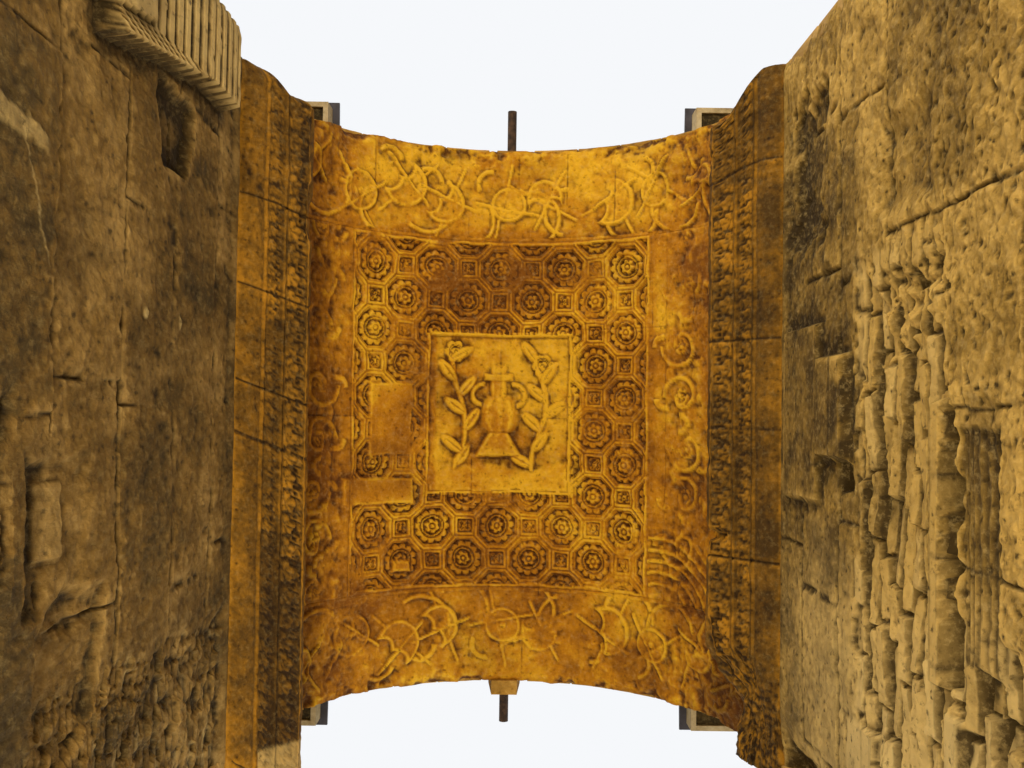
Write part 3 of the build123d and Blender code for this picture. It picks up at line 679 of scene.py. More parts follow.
def impost_surface(hand, returned, across, along):
    """The moulding's points: along the passage, or along the return round the back corner."""
    sign = -1 if hand == "left" else 1
    run_length = profile_run[-1]
    t = across * run_length
    offset = np.interp(t, profile_run, profile[:, 0])
    height = np.interp(t, profile_run, profile[:, 1])
    ahead, before = np.minimum(t + 0.004, run_length), np.maximum(t - 0.004, 0)
    rise = np.interp(ahead, profile_run, profile[:, 1]) - np.interp(before, profile_run, profile[:, 1])
    reach = np.interp(ahead, profile_run, profile[:, 0]) - np.interp(before, profile_run, profile[:, 0])
    size = np.hypot(rise, reach)
    out, down = rise / size, -reach / size
    run = along * passage_length + (7 if returned else 0)
    spots = np.stack([run, t, np.full_like(t, 3.0 if sign > 0 else 0.0)], axis=1)
    coarse_wear, fine_wear = scatter(spots, 0.45, 31, 4), scatter(spots, 0.06, 32, 3)
    ruined = ramp(4.25, 4.75, run + 0.16 * coarse_wear) if hand == "right" else np.zeros_like(t)
    carved = np.zeros_like(t)
    bands = ((narrow_band, narrow_leaf, narrow_relief), (broad_band, broad_leaf, broad_relief))
    for (start, end), leaf_pitch, deep in bands:
        inside = (t > start) & (t < end)
        share = (t - start) / (end - start)
        leaves = leafage(share, run + 0.04 * coarse_wear, leaf_pitch)
        carved = np.where(inside, leaves * deep - 0.5 * deep, carved)
    has_front = hand == "left" and not returned
    lost_front = ramp(1.15, 0.75, run + 0.1 * coarse_wear) if has_front else np.zeros_like(t)
    blur = (0.80 + 0.7 * coarse_wear) * (1 - 0.55 * lost_front) - ruined
    lift = carved * np.clip(blur, 0.05, 1.2) - 0.006 + 0.008 * coarse_wear + 0.007 * fine_wear
    gap = np.min([abs(run - spot) for spot in impost_joints[hand]], axis=0)
    joint = ramp(joint_width, 0.0, gap)
    lift = lift - joint_depth * joint + lost_front * (0.012 * coarse_wear - 0.004)
    chips = ramp(0.25, 0.75, coarse_wear) * ramp(0.30, 0.44, offset)
    lift = lift - 0.035 * chips + ruined * (0.05 * coarse_wear + 0.03 * fine_wear)
    offset = np.clip(offset + out * lift, 0.0, impost_reach)
    height = np.clip(height + down * lift, 0.0, impost_height)
    if hand == "right":
        offset = offset * (1 - ruined * (0.62 + 0.22 * coarse_wear))
        notch = ramp(0.05, 0.02, abs(run - notch_place)) * ramp(0.30, 0.36, offset)
        offset = offset - 0.06 * notch
        shift = 0.34 * ramp(0.12, 0.40, offset + 0.04 * coarse_wear)
    else:
        shift = -0.12 * ramp(0.34, 0.20, offset)
        rounded = np.clip(rounded_end - run, 0, rounded_end)
        offset = offset * np.sqrt(np.clip(1 - (rounded / 0.115) ** 2, 0.10, 1))
    if returned:
        x = sign * (vault_radius - offset + along * (abs(return_stop) - vault_radius + offset))
        y = face_line + offset
    else:
        x = sign * (vault_radius - offset)
        back_end = face_line + (offset if hand == "left" else 0)
        y = impost_front[hand] + along * (back_end - impost_front[hand])
        y = y + shift * (1 - along) ** 8
    renewed = impost_joints["left"][-1]
    fresh = ramp(renewed, renewed + 0.04, y + face_line) * (t > narrow_band[0]) * (hand == "left")
    # Darker in cavities and lighter on edges: painted shade and painted highlight, with dirt and bleaching.
    dirt_and_shade, bright = cavity_shade_and_dirt(-lift, across, along, 0.014, 0.005)
    hollow = np.clip(dirt_and_shade + 0.8 * joint + 0.25 * ramp(0.2, -0.4, coarse_wear), 0, 0.95) * (1 - 0.5 * fresh)
    band = (t > narrow_band[0]) & (t < broad_band[1])
    # edge: painted highlight lines along the bottom edge at the wall, the fillet over the hollow and the top
    # of the broad band.
    edge = ramp(0.03, 0.0, t) + ramp(0.018, 0.006, abs(t - profile_run[4]))
    edge = edge + ramp(0.02, 0.006, abs(t - broad_band[1]))
    hollow = np.clip(hollow + 0.25 * lost_front, 0, 0.95)
    aged = ramp(2.6, 4.6, run) * (hand == "left") * (1 - fresh)
    hollow = np.clip(hollow + 0.25 * aged * band, 0, 0.95)
    tone = np.where(band, -0.35, 0.20 if hand == "left" else -0.75) + 0.8 * bright + 0.9 * edge
    tone = tone - (0.5 + 0.6 * band) * aged
    return np.stack([x + 0 * t, y + 0 * t, impost_bottom + height], axis=1), hollow, tone, 0.5 * fresh


def impost_backing(hand, returned, across, along):
    """The same run at the wall's face, pulled a little into the pier behind."""
    sign = -1 if hand == "left" else 1
    rise = np.where(across > 0.5, impost_height, 0.0)
    if returned:
        x = sign * (vault_radius + along * (abs(return_stop) - vault_radius))
        return np.stack([x, np.full_like(along, face_line - impost_tail), impost_bottom + rise], axis=1)
    y = impost_front[hand] + along * (face_line - impost_front[hand])
    x = np.full_like(along, sign * (vault_radius + impost_tail))
    return np.stack([x, y, impost_bottom + rise], axis=1)


profile_grid, impost_grid = 70, 0.0145
impost_runs = (("left", False, 5.46), ("right", False, passage_length), ("left", True, 0.7))
for hand, returned, length in impost_runs:
    strip = sheet(round(profile_grid / coarse), round(length / (impost_grid * coarse)),
                  lambda across, along: impost_surface(hand, returned, across, along),
                  lambda across, along: impost_backing(hand, returned, across, along))
    name = f"{hand}_impost_return" if returned else f"{hand}_impost_carved"
    piece(name, strip, impost_stone, "carved_stone", f"{hand}_impost")

# Passage walls
# Big limestone ashlars in courses of about 0.65 m with thin joints, worn and split by
# weather. The left wall is darker, with soil and painted shade; on the right much of the
# facing has gone, and the thin rubble courses of the core show.
# Darker tones than the right wall's stone: soil, and painted shade.
left_wall_stone = stone_material("soiled_and_shaded_brown_limestone", ("#574520", "#7D5F28", "#A58446"), "#2A200C",
                                 patch_mm=520, grain_mm=22, bump_mm=16, streaks=0.25, speckle=0.75,
                                 fall=1.5, bleach=0.22)
right_wall_stone = stone_material("weathered_tan_limestone", ("#6A5222", "#9A7A34", "#CCA654"), "#33260D",
                                  patch_mm=420, grain_mm=20, bump_mm=24, streaks=0.15, speckle=0.9,
                                  bleach=0.45)
wall_back = 0.40


def masonry(u, v, course, length, seed):
    """Each spot's distance to a joint, and its own stone's random number and lean."""
    row = np.floor(v / course)
    bent = u + 0.12 * length * np.sin(u * 2.2 / length + row * 1.7)
    stone_length = length * (0.8 + 0.4 * chance(row, seed))
    place = bent / stone_length + chance(row, seed + 3)
    column = np.floor(place)
    to_bed = np.minimum(v - row * course, (row + 1) * course - v)
    to_end = np.minimum(place - column, column + 1 - place) * stone_length
    pick = chance(row, column, seed)
    lean = (v / course - row - 0.5) * (chance(row, column, seed + 5) - 0.5) \
        + (place - column - 0.5) * (chance(row, column, seed + 9) - 0.5)
    return np.minimum(to_bed, to_end), pick, lean


def area(u, v, low_u, high_u, low_v, high_v, soft=0.03, ragged=0.0):
    """1 inside a rectangle of the wall and 0 outside, with a soft or ragged edge."""
    inside = np.minimum(np.minimum(u - low_u, high_u - u), np.minimum(v - low_v, high_v - v))
    return ramp(-soft, soft, inside + ragged)


# The left wall's courses, and its marks as low and high limits along and up the wall:
# a deep socket, a niche with a stone let in, a broken edge, and ground worn to rubble.
left_course, left_length, left_level = 0.76, 1.25, 0.37
socket_place, socket_depth = (-1.83, -1.28, 6.85, 7.45), 0.075
niche_place, niche_stone = (0.24, 0.84, 5.54, 6.06), (0.33, 0.66, 5.64, 5.84)
broken_place, broken_depth = (0.86, 1.6, 5.5, 6.3), 0.05
rough_place, chipped_place = (1.35, 2.9, 5.4, 8.3), (-0.1, 2.9, 4.5, 5.38)
# Layered mouldings that turn the front corner, and the block below them
mitre_line, mitre_slope = -1.98, 6.2
layers_bottom, layers_top, layers_end = 6.50, 7.42, 7.95
layer_inside, layer_outside = 0.21, 0.115
block_place, block_stand = (-3.0, -1.70, 5.86, 6.49), 0.10
burst_line, scar_level = -1.13, 5.35
plugs, plug_radius = ((-0.51, 6.757), (-0.505, 7.29)), 0.028
soil_line = 5.70


def left_wall(u, v):
    """Depth, dirt and painted shade, tone and fresh stone of the left wall; u runs to the back and v up."""
    flat = np.stack([u * 1.05, v * 0.75, np.zeros_like(u)], axis=1)
    broad, small, fine = scatter(flat, 0.75, 41, 4), scatter(flat, 0.15, 42, 5), scatter(flat, 0.045, 43, 3)
    level = v - left_level + 0.010 * small
    edge, pick, lean = masonry(u + 0.03 * broad, level, left_course, left_length, 2)
    joint = ramp(0.012, 0.0, edge) * ramp(-0.1, 0.5, broad + 0.2 + 0.4 * small)
    deep = 0.012 + 0.016 * pick - 0.016 * lean - 0.022 * broad - 0.012 * small - 0.006 * fine
    deep = deep + 0.022 * joint + 0.020 * ramp(0.07, 0.0, edge) * ramp(0.0, 0.6, small + 0.4 * broad)
    tone = 0.9 * (pick - 0.5) + 0.5 * broad - 0.20 + 0.45 * ramp(0.07, 0.02, edge) * ramp(-0.3, 0.3, small)
    pale = np.zeros_like(u)

    hole = area(u, v, *socket_place, 0.03, 0.03 * small - 0.30 * np.clip(u + 1.7, 0, 1))
    deep = deep + socket_depth * hole
    low_u, high_u, low_v, high_v = niche_place
    slanted = high_u + 0.35 * np.clip(v - 5.5, 0, 0.5)
    slot = area(u, v, low_u, slanted, low_v, high_v, 0.05, 0.05 * small)
    insert = area(u, v, *niche_stone, 0.012, 0.01 * small)
    deep = deep + slot * (0.025 + 0.035 * ramp(5.78, 5.60, v)) - 0.015 * insert
    tone = tone + slot * (0.35 - 0.9 * ramp(5.70, 5.58, v)) + 0.6 * insert
    pale = pale + 0.10 * insert
    broken = area(u, v, *broken_place, 0.05, 0.15 * broad - 0.3 * abs(v - 5.9))
    deep = deep + broken_depth * broken

    rough = area(u, v, *rough_place, 0.08, 0.2 * broad)
    chipped = np.maximum(rough, area(u, v, *chipped_place, 0.03, 0.06 * broad))
    thin_edge, thin_pick, _ = masonry(u + 0.04 * small, v + 0.04 * small, 0.075, 0.17, 6)
    deep = deep + chipped * (0.010 + 0.032 * thin_pick + 0.010 * ramp(0.015, 0.0, thin_edge) - 0.015 * small)
    tone = tone + chipped * (1.4 * (thin_pick - 0.4))
    pale = pale + chipped * 0.5 * (thin_pick > 0.80) * ramp(0.0, 0.02, thin_edge)

    band = v + mitre_slope * np.clip(u - mitre_line, 0, None) + 0.012 * small
    beyond = u > mitre_line
    mitred = ramp(layers_bottom - 0.02, layers_bottom + 0.02, band) * ramp(6.0, 6.06, v)
    mitred = mitred * np.where(beyond, ramp(layers_top + 0.02, layers_top - 0.02, band),
                               ramp(layers_end + 0.05, layers_end - 0.05, band))
    layer = (band / np.where(beyond, layer_inside, layer_outside)) % 1
    block = area(u, v, *block_place, 0.02, 0.02 * small)
    block = block * ramp(layers_bottom + 0.02, layers_bottom - 0.02, band)
    crown = np.maximum(mitred, block)
    deep = deep * (1 - crown) - block * (block_stand + 0.01 * small)
    deep = deep - mitred * (0.055 + 0.060 * ramp(6.5, 7.6, band) + 0.018 * ramp(0.15, 0.45, layer))
    # Dark lines at the roots of the layered ledges: painted shade.
    ledge_root_shade = mitred * ramp(0.30, 0.10, abs(layer - 0.12))
    tone = tone * (1 - crown) + crown * (1.4 - 1.8 * ledge_root_shade + 0.3 * small)
    pale = pale + crown * (0.66 + 0.3 * small - 0.6 * ledge_root_shade)

    burst = ramp(0.055, 0.03, abs(u - burst_line - 0.15 * (v - 5.3) + 0.04 * small))
    burst = burst * area(u, v, -1.6, -0.9, 5.1, 5.55, 0.03)
    deep, pale = deep - 0.012 * burst, pale + 0.4 * burst
    for plug_u, plug_v in plugs:
        plug = ramp(plug_radius + 0.006, plug_radius - 0.006, np.hypot(u - plug_u, v - plug_v))
        deep, pale = deep - 0.012 * plug, np.maximum(pale, plug)
    scar = ramp(0.012, 0.0, abs(v - scar_level - 0.55 * (u + 1.1))) * area(u, v, -1.15, -0.60, 5.2, 5.9)
    pale = pale + 0.5 * scar

    tone = tone - 0.8 * ramp(soil_line, soil_line - 0.4, v + 0.2 * broad) * (1 - crown)
    tone = tone - 0.7 * ramp(0.7, 1.3, u + 0.2 * broad) * ramp(7.0, 6.2, v)
    fringe = 0.5 * ramp(8.15, 8.30, v) * ramp(-0.2, 0.4, small)
    dirt_and_shade = 0.6 * joint * (1 - crown) + 0.25 * ramp(0.0, -0.5, broad) + 0.45 * hole + 0.7 * ledge_root_shade + fringe
    return deep, dirt_and_shade, tone + 0.25, pale


# The right wall's courses, and its marks: a shaded strip under the impost, the core where
# the facing is lost, a lip over a gap painted dark as shade, a ribbed block, and hollows worn by weather.
right_course, right_length, right_level = 0.69, 1.05, 0.36
shaded_place = (-1.75, 3.0, 6.98, 8.6)
core_place, core_foot = (-0.95, 2.9, 5.86, 6.97), (0.9, 2.9, 4.6, 5.9)
core_course, core_length = 0.125, 0.36
lip_place, gap_place, gap_depth = (-0.08, 1.20, 5.90, 6.02), (-0.05, 1.18, 5.80, 5.89), 0.20
ribbed_place, ribbed_level, rib_waves = (0.03, 1.05, 5.40, 5.79), 5.62, 110
dark_blocks = (((-0.59, 0.53, 7.56, 8.28), 0.025), ((-0.37, 0.24, 7.06, 7.53), 0.045))
beam_hole, beam_depth = (0.25, 0.42, 7.06, 7.24), 0.09
bowl_place, bowl_depth = (-1.54, -1.10, 6.05, 6.65), 0.05
eroded_place, eroded_depth = (-2.05, -1.15, 7.60, 8.20), 0.07
fresh_places = ((1.68, 2.30, 6.72, 7.10), (1.30, 1.75, 5.74, 5.88))


def right_wall(u, v):
    """The same for the right wall, with its lost facing and the core's rubble."""
    flat = np.stack([u * 0.9, v, np.full_like(u, 9.0)], axis=1)
    broad, small, fine = scatter(flat, 0.75, 51, 4), scatter(flat, 0.15, 52, 5), scatter(flat, 0.045, 53, 3)
    level = v - right_level + 0.015 * small
    edge, pick, lean = masonry(u + 0.03 * broad, level, right_course, right_length, 4)
    joint = ramp(0.012, 0.0, edge) * ramp(-0.5, 0.2, broad + 0.3)
    deep = 0.010 + 0.014 * pick - 0.016 * lean - 0.018 * broad - 0.014 * small - 0.007 * fine
    deep = deep + 0.022 * joint + 0.022 * ramp(0.07, 0.0, edge) * ramp(0.0, 0.6, small + 0.4 * broad)
    shaded = area(u, v, *shaded_place, 0.10, 0.12 * broad)
    tone = 0.8 * (pick - 0.5) + 0.4 * broad + 0.35 - 1.15 * shaded
    pale = np.zeros_like(u)

    core = area(u, v, *core_place, 0.012, 0.11 * small + 0.05 * broad) * ramp(-1.0, -0.8, u)
    core = np.maximum(core, area(u, v, *core_foot, 0.05, 0.2 * broad))
    thin_edge, thin_pick, thin_lean = masonry(u + 0.03 * small, v + 0.020 * small,
                                              core_course, core_length, 8)
    crag = abs(scatter(flat, 0.11, 58, 3))
    rubble = 0.040 + 0.070 * thin_pick + 0.045 * ramp(0.020, 0.004, thin_edge) - 0.07 * thin_lean
    rubble = (rubble + 0.012 * crag - 0.030 * broad) * (0.35 + 0.65 * ramp(7.0, 6.72, v + 0.1 * small))
    rubble = rubble * (0.25 + 0.75 * ramp(-1.0, -0.45, u + 0.5 * small))
    deep = deep * (1 - core) + core * rubble
    tone = tone * (1 - core) + core * (2.0 * thin_pick + 0.45)
    broken_face = (chance(np.floor(thin_pick * 97), 3) > 0.75) * ramp(0.0, 0.02, thin_edge)
    pale = pale + core * (0.08 + 0.30 * broken_face)
    deep = deep + (1 - core) * (1 - 0.6 * shaded) * 0.014 * crag

    lip = area(u, v, *lip_place, 0.010, 0.02 * small)
    deep = deep * (1 - lip) + 0.01 * lip
    # The gap under the lip is also painted near-black: painted shade.
    gap_shade = area(u, v, *gap_place, 0.008, 0.02 * small)
    deep = deep * (1 - gap_shade) + gap_depth * gap_shade
    ribbed = area(u, v, *ribbed_place, 0.02, 0.02 * small)
    ribs = 0.05 + 0.16 * abs(v - ribbed_level) + 0.006 * np.sin(v * rib_waves + 2 * small)
    deep = deep * (1 - ribbed) + ribbed * ribs
    tone = tone - 1.7 * ribbed

    for place, stand in dark_blocks:
        block = area(u, v, *place, 0.012, 0.012 * small)
        deep = deep * (1 - block) + block * (0.006 * small - stand)
        tone = tone * (1 - block) + block * (0.2 * broad - 0.95)
    socket = area(u, v, *beam_hole, 0.02, 0.03 * small)
    deep = deep + beam_depth * socket
    bowl = area(u, v, *bowl_place, 0.08, 0.04 * small)
    deep = deep + bowl_depth * bowl
    eroded = area(u, v, *eroded_place, 0.10, 0.16 * small + 0.08 * broad)
    deep = deep + eroded_depth * eroded
    tone = tone - 0.6 * bowl - 0.8 * eroded
    for place in fresh_places:
        fresh = area(u, v, *place, 0.012)
        deep = deep * (1 - fresh) + 0.02 * fresh
        pale = np.maximum(pale, 0.8 * fresh)

    pocks = np.abs(scatter(flat, 0.055, 57, 2))
    pits = ramp(0.42, 0.62, pocks) * ramp(6.3, 5.9, v) * (1 - core)
    deep = deep + 0.010 * pits
    gone = ramp(2.02, 2.42, u + 0.2 * broad) * ramp(7.2, 8.2, v)
    deep = deep + 0.16 * gone + 0.05 * gone * thin_pick
    # Lighter and paler low down towards the back end: painted light from the back opening.
    back_light_pool = ramp(0.5, 1.7, u + 0.3 * broad) * ramp(8.9, 7.2, v)
    tone = tone + 0.8 * gone + 1.3 * back_light_pool
    pale = pale + 0.62 * back_light_pool
    dirt_and_shade = 0.7 * joint * (1 - core) + 0.55 * core * ramp(0.022, 0.0, thin_edge)
    # The gap's share here is painted shade, not dirt.
    dirt_and_shade = dirt_and_shade + 0.95 * gap_shade + 0.35 * pits
    dirt_and_shade = dirt_and_shade + 0.30 * ribbed + 0.35 * shaded * ramp(0.1, 0.5, small) + 0.4 * eroded + 0.7 * socket
    dirt_and_shade = dirt_and_shade + 0.30 * ramp(0.0, -0.5, broad) + 0.25 * shaded * ramp(-0.3, 0.3, small)
    dirt_and_shade = dirt_and_shade * (1 - 0.5 * back_light_pool)
    return deep, dirt_and_shade, tone, pale


furthest_out, deepest = -0.16, 0.3


def wall_sheet(sign, relief, low_v, high_v, pitch):
    """One part of a passage wall, from the front face to the back one."""
    def surface(across, along):
        u = -face_line + across * 2 * face_line
        v = low_v + along * (high_v - low_v)
        deep, dirt_and_shade, tone, pale = relief(u, v)
        worn = ramp(0.10, 0.0, face_line - abs(u))
        under_impost = ramp(impost_bottom - 0.12, impost_bottom, v)
        deep = np.clip(deep, furthest_out, deepest) * (1 - 0.8 * under_impost) + 0.015 * worn * worn
        # Darker in cavities and lighter on edges: painted shade and painted highlight, with dirt and
        # bleaching.
        dark, bright = cavity_shade_and_dirt(deep, across, along, 0.030, 0.008)
        # Undersides that lean out are darkened and lose their highlight: painted shade.
        underside_shade = ramp(0.25, 1.6, overhang(deep, across, along, pitch))
        dark, bright = dark + 0.55 * underside_shade, bright * (1 - underside_shade)
        spots = np.stack([sign * (vault_radius + deep), u, v], axis=1)
        return spots, np.clip(dirt_and_shade + dark, 0, 0.95), np.clip(tone + bright, -1, 2), np.clip(pale, 0, 1)

    def backing(across, along):
        u = -face_line + across * 2 * face_line
        x = np.full_like(u, sign * (vault_radius + wall_back))
        return np.stack([x, u, low_v + along * (high_v - low_v)], axis=1)

    return sheet(round(2 * face_line / pitch), round((high_v - low_v) / pitch), surface, backing)


seen_from, split_at = 4.95, 6.92
upper_grid, middle_grid, lower_grid = 0.024, 0.0145, 0.045
passage_walls = (("left", -1, left_wall, left_wall_stone), ("right", 1, right_wall, right_wall_stone))
for hand, sign, relief, stone in passage_walls:
    upper = wall_sheet(sign, relief, split_at, springing, upper_grid * coarse)
    middle = wall_sheet(sign, relief, seen_from, split_at, middle_grid * coarse)
    lower = wall_sheet(sign, relief, 0.0, seen_from, lower_grid * coarse)
    piece(f"{hand}_wall_upper", upper, stone, "wall_stone", f"{hand}_pier", smooth=False)
    piece(f"{hand}_wall_middle", middle, stone, "wall_stone", f"{hand}_pier", smooth=False)
    piece(f"{hand}_wall_lower", lower, stone, "wall_stone", f"{hand}_pier")

# Outer walls
# Coursed ashlar on the other three sides of each pier and round the top: single stones
# with worn edges on beds of lime mortar, and a plain mass of masonry behind them.
ashlar_stone = stone_material("warm_limestone_ashlar", ("#755A2C", "#A17D3E", "#C8A462"), "#4A3818",
                              patch_mm=1100, grain_mm=28, bump_mm=9, streaks=0.3, fall=1.6)
mortar = stone_material("lime_mortar_beds", ("#6A5A38", "#86744C", "#A08C60"), "#3E3118",
                        patch_mm=300, grain_mm=14, bump_mm=4)
top_course, top_length = 0.355, 1.26
entablature_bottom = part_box("cornice")[0][2]
architrave_bottom, architrave_top = (corner[2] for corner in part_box("front_architrave"))
half_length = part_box("right_pier")[1][0]
noise.seed_set(1)


def block(shape, middle, size, turn=Matrix()):
    """Adds a block of a given size to a shape and gives back its corners."""
    matrix = Matrix.Translation(middle) @ turn @ Matrix.Diagonal((*size, 1))
    return bmesh.ops.create_cube(shape, size=1, matrix=matrix)["verts"]


def stones(shape, corner, outward, width, height, seed, course=0.593, length=1.05, proud=0.014):
    """A wall of single stones: rows of blocks from a low corner, standing a little proud of it."""
    outward = Vector(outward)
    along = Vector((abs(outward.y), abs(outward.x), 0))
    turn = Matrix((along, outward, Vector((0, 0, 1)))).transposed().to_4x4()
    rows = max(1, round(height / course))
    tall, thick, gap = height / rows, 0.10, 0.012
    half_bond, uneven, shortest = 0.5, 0.3, 0.25
    for row in range(rows):
        count = max(1, round(width / length))
        shift = half_bond * (row % 2) if count > 1 else 0
        ends = [0.0]
        for i in range(1, count):
            ends.append((i + shift + uneven * (chance(row, i, seed) - 0.5)) * width / count)
        if width - ends[-1] > shortest * length:
            ends.append(width)
        ends[-1] = width
        for number, (low, high) in enumerate(zip(ends, ends[1:])):
            out = proud * (0.4 + 0.6 * chance(row, number, seed + 7))
            middle = Vector(corner) + along * (low + high) / 2 + outward * (out - thick / 2)
            middle.z += (row + 0.5) * tall
            block(shape, middle, (high - low - gap, thick, tall - gap), turn)


def round_edges(shape, edges, offset):
    """Rounds edges of a shape."""
    bmesh.ops.bevel(shape, geom=edges, offset=offset, segments=2, profile=0.5, affect="EDGES", material=-1)


def weather_stones(shape, edge, rough, seed):
    """Turns every stone's faces outwards, rounds its edges and makes it uneven."""
    bmesh.ops.recalc_face_normals(shape, faces=shape.faces[:])
    round_edges(shape, shape.edges[:], edge)
    coarse_scale, fine_scale = 6, 23
    for v in shape.verts:
        spot = v.co * coarse_scale + Vector((seed, 0, 0))
        v.co += noise.noise_vector(spot) * rough + noise.noise_vector(v.co * fine_scale) * rough * 0.5


def cut_flat(shape, geom, place, normal, inner):
    """Cuts away what lies on the inner or outer side of a plane and closes the cut."""
    cut = bmesh.ops.bisect_plane(shape, geom=geom, plane_co=place, plane_no=normal,
                                 clear_inner=inner, clear_outer=not inner)["geom_cut"]
    edges = [e for e in cut if isinstance(e, bmesh.types.BMEdge)]
    bmesh.ops.holes_fill(shape, edges=edges, sides=0)


passage_gap, core_gap = 0.02, 0.05
ashlar_edge, ashlar_rough = 0.012, 0.006
ring_radius, ring_cuts, ring_overlap = vault_radius + voussoir_depth + 0.006, 13, 1.6
facing_depth = 0.2
for hand, sign in (("left", -1), ("right", 1)):
    core = bmesh.new()
    near = vault_radius + wall_back - core_gap
    block(core, (sign * (near + half_length) / 2, 0, springing / 2),
          (half_length - near, 2 * face_line, springing))
    piece(f"{hand}_pier_core", core, mortar, "wall_stone", f"{hand}_pier", smooth=False)
    cladding = bmesh.new()
    for outward in (-1, 1):
        start = vault_radius + passage_gap if sign > 0 else -half_length
        stones(cladding, (start, outward * face_line, 0), (0, outward, 0),
               half_length - vault_radius - passage_gap, springing, 3 + outward + sign)
    stones(cladding, (sign * half_length, -face_line, 0), (sign, 0, 0), 2 * face_line, springing, 11 + sign)
    weather_stones(cladding, ashlar_edge, ashlar_rough, 5)
    piece(f"{hand}_pier_facing", cladding, ashlar_stone, "wall_stone", f"{hand}_pier")

    upper = bmesh.new()
    stones(upper, (sign * half_length, -face_line, springing), (sign, 0, 0), 2 * face_line,
           entablature_bottom - springing, 17 + sign)
    for outward in (-1, 1):
        start = 0.0 if sign > 0 else -half_length
        stones(upper, (start, outward * face_line, springing), (0, outward, 0), half_length,
               architrave_bottom - springing, 21 + outward + sign)
        stones(upper, (start, outward * face_line, architrave_top), (0, outward, 0), half_length,
               entablature_bottom - architrave_top, 27 + outward + sign, top_course, top_length)
    for step in range(ring_cuts):
        angle = math.pi / 2 * (step + 0.5) / ring_cuts
        normal = Vector((sign * math.cos(angle), 0, math.sin(angle)))
        middle = Vector((0, 0, springing)) + normal * ring_radius
        half_width = ring_radius * math.pi / (4 * ring_cuts)
        side = Vector((normal.z, 0, -normal.x))
        inside = set()
        for f in upper.faces:
            if f.calc_center_median().z >= architrave_bottom:
                continue
            for v in f.verts:
                out = v.co - Vector((0, v.co.y, springing))
                in_facing = abs(abs(v.co.y) - face_line) < facing_depth
                in_share = abs(out.dot(side)) < half_width * ring_overlap
                if in_facing and in_share and out.length < ring_radius:
                    inside.add(f)
        reach = {v for f in inside for v in f.verts}
        linked = {f for v in reach for f in v.link_faces}
        geom = list(reach) + list({e for f in linked for e in f.edges}) + list(linked)
        if geom:
            cut_flat(upper, geom, middle, normal, inner=True)
    weather_stones(upper, ashlar_edge, ashlar_rough, 8)
    piece(f"{hand}_upper_facing", upper, ashlar_stone, "wall_stone")

# Archivolts and keystones
# The moulded ring round each face of the arch, one length to a voussoir.
ring_stone = stone_material("worn_golden_voussoirs", ("#7A5A22", "#A67C30", "#CBA253"), "#43300F",
                            patch_mm=500, grain_mm=24, bump_mm=7, streaks=0.3)
column_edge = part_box("front_archivolt")[1][0]
archivolt_inner, archivolt_step, archivolt_outer = (vault_radius + out for out in (0.120, 0.265, 0.410))
inner_fascia, outer_fascia, set_in = 0.030, 0.060, 0.020
fasciae = ((archivolt_inner, archivolt_step, inner_fascia), (archivolt_step, archivolt_outer, outer_fascia))
voussoirs, voussoir_share, voussoir_bends = 15, 0.975, 5
for outward, side in ((-1, "front"), (1, "back")):
    ring = bmesh.new()
    for number in range(voussoirs):
        if number == voussoirs // 2:
            continue
        for inner, outer, proud in fasciae:
            before = len(ring.verts)
            made = bmesh.ops.create_cube(ring, size=1)["verts"]
            cut = {e for v in made for e in v.link_edges if abs(e.verts[0].co.x - e.verts[1].co.x) > 0.5}
            bmesh.ops.subdivide_edges(ring, edges=list(cut), cuts=voussoir_bends)
            ring.verts.ensure_lookup_table()
            for v in ring.verts[before:]:
                angle = math.pi * (number + 0.5 + v.co.x * voussoir_share) / voussoirs
                radius = inner + (v.co.z + 0.5) * (outer - inner)
                y = face_line + (proud if v.co.y > 0 else -set_in)
                v.co = (radius * math.cos(angle), outward * y, springing + radius * math.sin(angle))
    for sign in (-1, 1):
        geom = ring.verts[:] + ring.edges[:] + ring.faces[:]
        cut_flat(ring, geom, (sign * column_edge, 0, 0), (sign, 0, 0), inner=False)
    bmesh.ops.recalc_face_normals(ring, faces=ring.faces[:])
    weather_stones(ring, 0.006, 0.004, 3)
    for v in ring.verts:
        v.co.x = max(-column_edge, min(column_edge, v.co.x))
        v.co.y = max(-face_line - outer_fascia, min(face_line + outer_fascia, v.co.y))
    piece(f"{side}_archivolt_stones", ring, ring_stone, "carved_stone", f"{side}_archivolt")

# Podiums
# Each pier face stands on a podium with a plinth and a moulded cap, built of three courses.
podium_stone = stone_material("grey_brown_limestone_podium", ("#5E4C2C", "#836C42", "#A68E60"), "#3A2C14",
                              patch_mm=900, grain_mm=28, bump_mm=8, streaks=0.4)
plinth_height, dado_height, dado_course, dado_proud = 0.50, 1.56, 0.52, 0.012
plinth_margin, front_length, end_length = 0.09, 0.95, 0.7
quarters = [(side, outward, hand, sign) for side, outward in (("front", -1), ("back", 1))
            for hand, sign in (("left", -1), ("right", 1))]
for side, outward, hand, sign in quarters:
    low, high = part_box(f"{side}_{hand}_podium")
    near = min(abs(low[0]), abs(high[0])) + plinth_margin
    far = max(abs(low[0]), abs(high[0])) - plinth_margin
    reach = max(abs(low[1]), abs(high[1])) - plinth_margin
    dado = bmesh.new()
    stones(dado, (near if sign > 0 else -far, outward * reach, plinth_height), (0, outward, 0), far - near,
           dado_height, 31 + outward + 2 * sign, dado_course, front_length, dado_proud)
    for x, facing in ((sign * near, -sign), (sign * far, sign)):
        start = -reach if outward < 0 else face_line
        stones(dado, (x, start, plinth_height), (facing, 0, 0), reach - face_line,
               dado_height, 37 + sign, dado_course, end_length, dado_proud)
    weather_stones(dado, 0.010, 0.005, 2)
    piece(f"{side}_{hand}_podium_stones", dado, podium_stone, "wall_stone")

